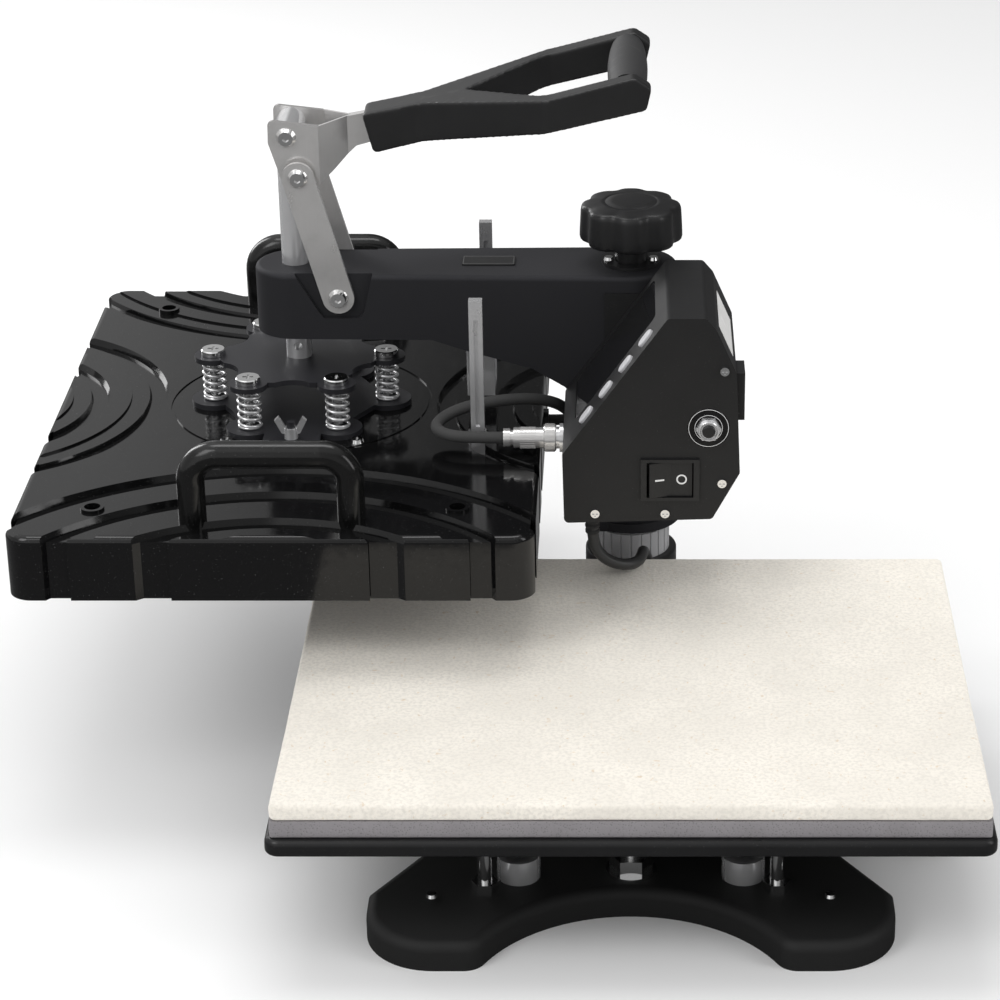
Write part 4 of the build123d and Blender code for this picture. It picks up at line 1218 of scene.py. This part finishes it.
@dataclass
class Controls:
    """Marks and small parts on the control box and the arm.

    Args:
        switch: the rocker's pivot in X, Y and Z, in metres.
        tilt: its tilt at rest, in degrees.
        breaker: the breaker's axis in X and Z, in metres.
        label_ends: the sloped back's lower and upper end in X and Z, in millimetres.
        label_sides: the label's two sides in Y, in metres.
        connector: the connector's axis in Y and Z, in metres.
        raised: how thick a label or a rim is, in metres.
    """

    switch: Point = (0.0226, -0.123, 0.184)
    tilt: float = 7.0
    breaker: Tuple[float, float] = (0.0446, 0.2164)
    label_ends: Sequence[Tuple[float, float]] = ((60.4, 250.0), (48.7, 276.5))
    label_sides: Tuple[float, float] = (-0.110, -0.052)
    connector: Tuple[float, float] = (-0.080, 0.1905)
    raised: float = 0.00015

    def ring(self, name: str, centre: Point, axis_turn: Euler, radii: Tuple[float, float], thick: float,
             finish: Palette, sides: int = 48) -> bpy.types.Object:
        """A flat ring with softened edges.

        Args:
            name: the piece's name.
            centre: its middle.
            axis_turn: turns its axis from +Z.
            radii: its inner and outer radius.
            thick: its thickness.
            finish: its finish.
            sides: its divisions.

        Returns:
            The ring.
        """
        inner, outer = radii
        ease = min(thick * 0.4, (outer - inner) * 0.25)
        top = thick / 2
        loop = [(inner, -top), (outer, -top), (outer, top - ease), (outer - ease, top), (inner + ease, top),
                (inner, top - ease)]
        turn, points, faces = axis_turn.to_matrix(), [], []
        for i in range(sides):
            angle = 2 * pi * i / sides
            points += [Vector(centre) + turn @ Vector((r * cos(angle), r * sin(angle), z)) for r, z in loop]
        n = len(loop)
        for i in range(sides):
            a, b = i * n, (i + 1) % sides * n
            faces += [(a + k, a + (k + 1) % n, b + (k + 1) % n, b + k) for k in range(n)]
        return from_faces(name, points, faces, finish, smooth=False)

    def plate(self, name: str, corners: Sequence[Point], out: Point, thick: float,
              finish: Palette) -> bpy.types.Object:
        """A thin four-cornered plate raised off a surface.

        Args:
            name: the piece's name.
            corners: its four corners on the surface, in order.
            out: the direction away from the surface.
            thick: its thickness.
            finish: its finish.

        Returns:
            The plate.
        """
        rise = Vector(out).normalized() * thick
        centre = sum((Vector(c) for c in corners), Vector()) / 4
        upper = [Vector(c) + rise + (centre - Vector(c)).normalized() * thick * 0.4 for c in corners]
        points = [Vector(c) for c in corners] + upper
        faces = [(0, 1, 2, 3), (4, 5, 6, 7)] + [(i, (i + 1) % 4, (i + 1) % 4 + 4, i + 4) for i in range(4)]
        return from_faces(name, points, faces, finish, smooth=False)

    def rocker_place(self, u: float, v: float, z: float) -> Point:
        """A point on the tilted key: along it, out of it (towards -Y when negative) and up."""
        turn = radians(self.tilt)
        x, y, h = self.switch
        return x + (u * cos(turn) - v * sin(turn)) * MM, y + (u * sin(turn) + v * cos(turn)) * MM, h + z * MM

    def dress_switch(self) -> None:
        """The on and off marks on the rocker."""
        (first, last), half = (-9.2, -3.8), 0.5
        bar = [self.rocker_place(u, -3.72 + 0.14 * (u + 6.4), z) for u, z in
               ((first, -half), (last, -half), (last, half), (first, half))]
        on = self.plate("mark_on", bar, (0.2, -1, 0), 0.00012, Palette.MARK)
        facing = Euler((radians(90), 0, radians(self.tilt - 8.0)))
        off = self.ring("mark_off", self.rocker_place(6.3, -3.80, 0), facing, (0.0022, 0.0031), 0.0003,
                        Palette.MARK)
        for mark in (on, off):
            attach(mark, "rocker")

    def dress_breaker(self) -> None:
        """The dark disc under the breaker's nut, with a fine pale line near each edge."""
        facing = Euler((radians(90), 0, 0))
        x, z = self.breaker
        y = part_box("side_panel")[0].y - 0.00015
        pieces = [self.ring("breaker_disc", (x, y, z), facing, (0.0050, 0.0122), 0.0003, Palette.TUBE, 64)]
        for index, r in enumerate((0.0078, 0.0113)):
            pieces.append(self.ring("breaker_line_%d" % index, (x, y - 0.0002, z), facing, (r, r + 0.0003),
                                    0.0001, Palette.MARK, 64))
        pieces.append(self.ring("breaker_collar", (x, y - 0.0045, z), facing, (0.0048, 0.0060), 0.0024,
                                Palette.CHROME, 40))
        for piece in pieces:
            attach(piece, "arm")

    def dress_label(self) -> None:
        """The blank label on the box's sloped back."""
        first, second = (Vector((x, 0, z)) * MM for x, z in self.label_ends)
        along = second - first
        out = Vector((along.z, 0, -along.x)).normalized()
        lower, upper = (first + along * share + out * 0.00003 for share in (0.16, 0.86))
        near, far = self.label_sides
        corners = [(e.x, y, e.z) for e, y in ((lower, near), (lower, far), (upper, far), (upper, near))]
        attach(self.plate("blank_label", corners, out, self.raised, Palette.LABEL), "arm")

    def dress_badge(self) -> None:
        """A bright rim round the blank badge on the arm."""
        low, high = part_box("arm_badge")
        inner, wide = 0.0006, 0.0005
        xs = (low.x + inner, high.x - inner)
        ys = (low.y + inner, high.y - inner)
        z = high.z
        bars = [((xs[0], ys[0]), (xs[1], ys[0] + wide)), ((xs[0], ys[1] - wide), (xs[1], ys[1])),
                ((xs[0], ys[0] + wide), (xs[0] + wide, ys[1] - wide)),
                ((xs[1] - wide, ys[0] + wide), (xs[1], ys[1] - wide))]
        for index, ((x0, y0), (x1, y1)) in enumerate(bars):
            corners = [(x0, y0, z), (x1, y0, z), (x1, y1, z), (x0, y1, z)]
            bar = self.plate("badge_rim_%d" % index, corners, (0, 0, 1), self.raised, Palette.ZINC)
            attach(bar, "arm")

    def dress_connector(self) -> None:
        """The knurl on the connector's nut, and the grooves on its barrel."""
        knurls = ridge_builder()
        for name, x, width, radius, count in (("connector_knurl", -47.9, 5.6, 8.15, 44),
                                              ("connector_ribs", -61.0, 9.0, 6.15, 28)):
            seed = link(name + "_seed", bpy.data.meshes.new(name + "_seed"))
            ring = knurls.run(seed, name, Palette.NICKEL, Count=count, Radius=radius * MM,
                              Size=(0.0005, 0.0005, width * MM), Centre=(x * MM, *self.connector),
                              Turn=(0.0, radians(90), 0.0))
            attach(ring, "arm")

    def dress(self) -> None:
        """Build everything on the box and the arm."""
        self.dress_switch()
        self.dress_breaker()
        self.dress_label()
        self.dress_badge()
        self.dress_connector()
        LOG.info("controls done")


class Press:
    """The whole press: every CAD node gets its finish, then each sub-assembly is dressed."""

    def paint_nodes(self) -> None:
        """Put the finishes on the CAD nodes."""
        for finish, names in NODE_FINISHES.items():
            for name in names:
                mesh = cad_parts[name].data
                mesh.materials.clear()
                mesh.materials.append(finish.material)

    def dress(self) -> None:
        """Build every sub-assembly in order."""
        self.paint_nodes()
        tubes = tube_builder()
        MainsCord().dress(tubes)
        HeaterLead().dress(tubes)
        SoftPad("foam_pad", Palette.FOAM, 0.0010, 0.0004, 0.0, 0.95).dress("base")
        SoftPad("felt_pad", Palette.FELT, 0.0024, 0.0008, 0.0005, 0.9).dress("base")
        Springs().dress()
        Knob().dress()
        StrainRelief().dress()
        SoftenedCasting("handle_fork", "handle", Palette.PLASTIC).dress()
        Controls().dress()


# ---------------------------------------------------------------------------------------------
# Studio
# ---------------------------------------------------------------------------------------------


@dataclass(frozen=True)
class SoftBox:
    """A square studio light.

    Args:
        name: its name.
        place: where it stands.
        aim: what it points at.
        size: its width and height.
        power: its power in watts.
    """

    name: str
    place: Point
    aim: Point
    size: Tuple[float, float]
    power: float

    def hang(self) -> None:
        """Add the light to the scene."""
        data = bpy.data.lights.new(self.name, "AREA")
        data.shape = "RECTANGLE"
        data.size, data.size_y = self.size
        data.energy = self.power
        lamp = bpy.data.objects.new(self.name, data)
        bpy.context.scene.collection.objects.link(lamp)
        lamp.location = self.place
        lamp.rotation_euler = (Vector(self.aim) - Vector(self.place)).to_track_quat("-Z", "Y").to_euler()


class Studio:
    """The floor, the lights and the camera."""

    def floor(self) -> None:
        """A wide pale floor, painted dark where glossy surfaces reflect it, as a painted darkening of its
        reflections.
        """
        reach = 6.0
        corners = [(-reach, -reach, 0), (reach, -reach, 0), (reach, reach, 0), (-reach, reach, 0)]
        ground = bpy.data.meshes.new("floor")
        ground.from_pydata(corners, [], [(0, 1, 2, 3)])
        plane = link("floor", ground)
        surface = Surface("pale_floor")
        # painted reflection: the floor's colour drops to dark grey for glossy rays, so its reflections in the
        # press are painted dark
        mirrored = surface.node("ShaderNodeLightPath", output="Is Glossy Ray")
        surface.set(Base_Color=surface.mix(mirrored, (0.93, 0.93, 0.93), (0.16, 0.16, 0.16)), Roughness=0.8,
                    Specular_IOR_Level=0.1)
        ground.materials.append(surface.material)

    def sky(self) -> None:
        """A plain bright surround."""
        world = bpy.data.worlds.new("studio")
        bpy.context.scene.world = world
        world.use_nodes = True
        world.node_tree.nodes.clear()
        tree = Tree(world.node_tree)
        seen = tree.node("ShaderNodeLightPath", output="Is Camera Ray")
        mirrored = tree.node("ShaderNodeLightPath", output="Is Glossy Ray")
        facing = tree.data.nodes.new("ShaderNodeSeparateXYZ")
        tree.feed(facing.inputs[0], tree.node("ShaderNodeTexCoord", output="Generated"))
        left = (Wire(tree, facing.outputs[0]) * -1.0).between(0.03, 0.20)
        above = Wire(tree, facing.outputs[2]).between(0.55, 0.85)
        front = (Wire(tree, facing.outputs[1]) * -1.0).between(0.3, 0.95)
        shown = left * 0.52 + above * 0.60 + front * 0.36 + 0.10
        level = 0.72 + seen * 0.30 - mirrored * 0.72 + mirrored * shown
        shine = tree.node("ShaderNodeBackground", {"Color": (1, 1, 1, 1), "Strength": level})
        tree.node_into("ShaderNodeOutputWorld", "Surface", shine)

    def camera(self) -> None:
        """The camera: square to the press's side, a little above it, with a long lens."""
        place, pitch, lens, sideways = (0.0, -1.725, 0.903), radians(65.4), 109.0, -0.131
        data = bpy.data.cameras.new("camera")
        data.sensor_width = 36.0
        data.lens = lens
        data.shift_x = sideways
        eye = bpy.data.objects.new("camera", data)
        bpy.context.scene.collection.objects.link(eye)
        eye.location = place
        eye.rotation_euler = (pitch, 0.0, 0.0)
        bpy.context.scene.camera = eye

    def build(self) -> None:
        """Set up the whole studio."""
        bpy.context.scene.view_settings.view_transform = "Standard"
        self.camera()
        self.floor()
        self.sky()
        middle = (-0.1, -0.1, 0.2)
        SoftBox("key", (-1.1, -1.1, 1.5), middle, (0.7, 0.9), 8).hang()
        SoftBox("fill", (1.5, -0.8, 1.0), middle, (0.5, 1.2), 6).hang()
        SoftBox("top", (-0.15, 0.15, 1.7), middle, (1.1, 0.5), 7).hang()
        SoftBox("back", (-1.3, 1.2, 0.9), middle, (0.5, 1.2), 12).hang()


def main() -> None:
    """Build the studio and the press."""
    logging.basicConfig(level=logging.INFO, format="%(name)s %(message)s")
    Studio().build()
    Press().dress()


if __name__ == "__main__":
    main()
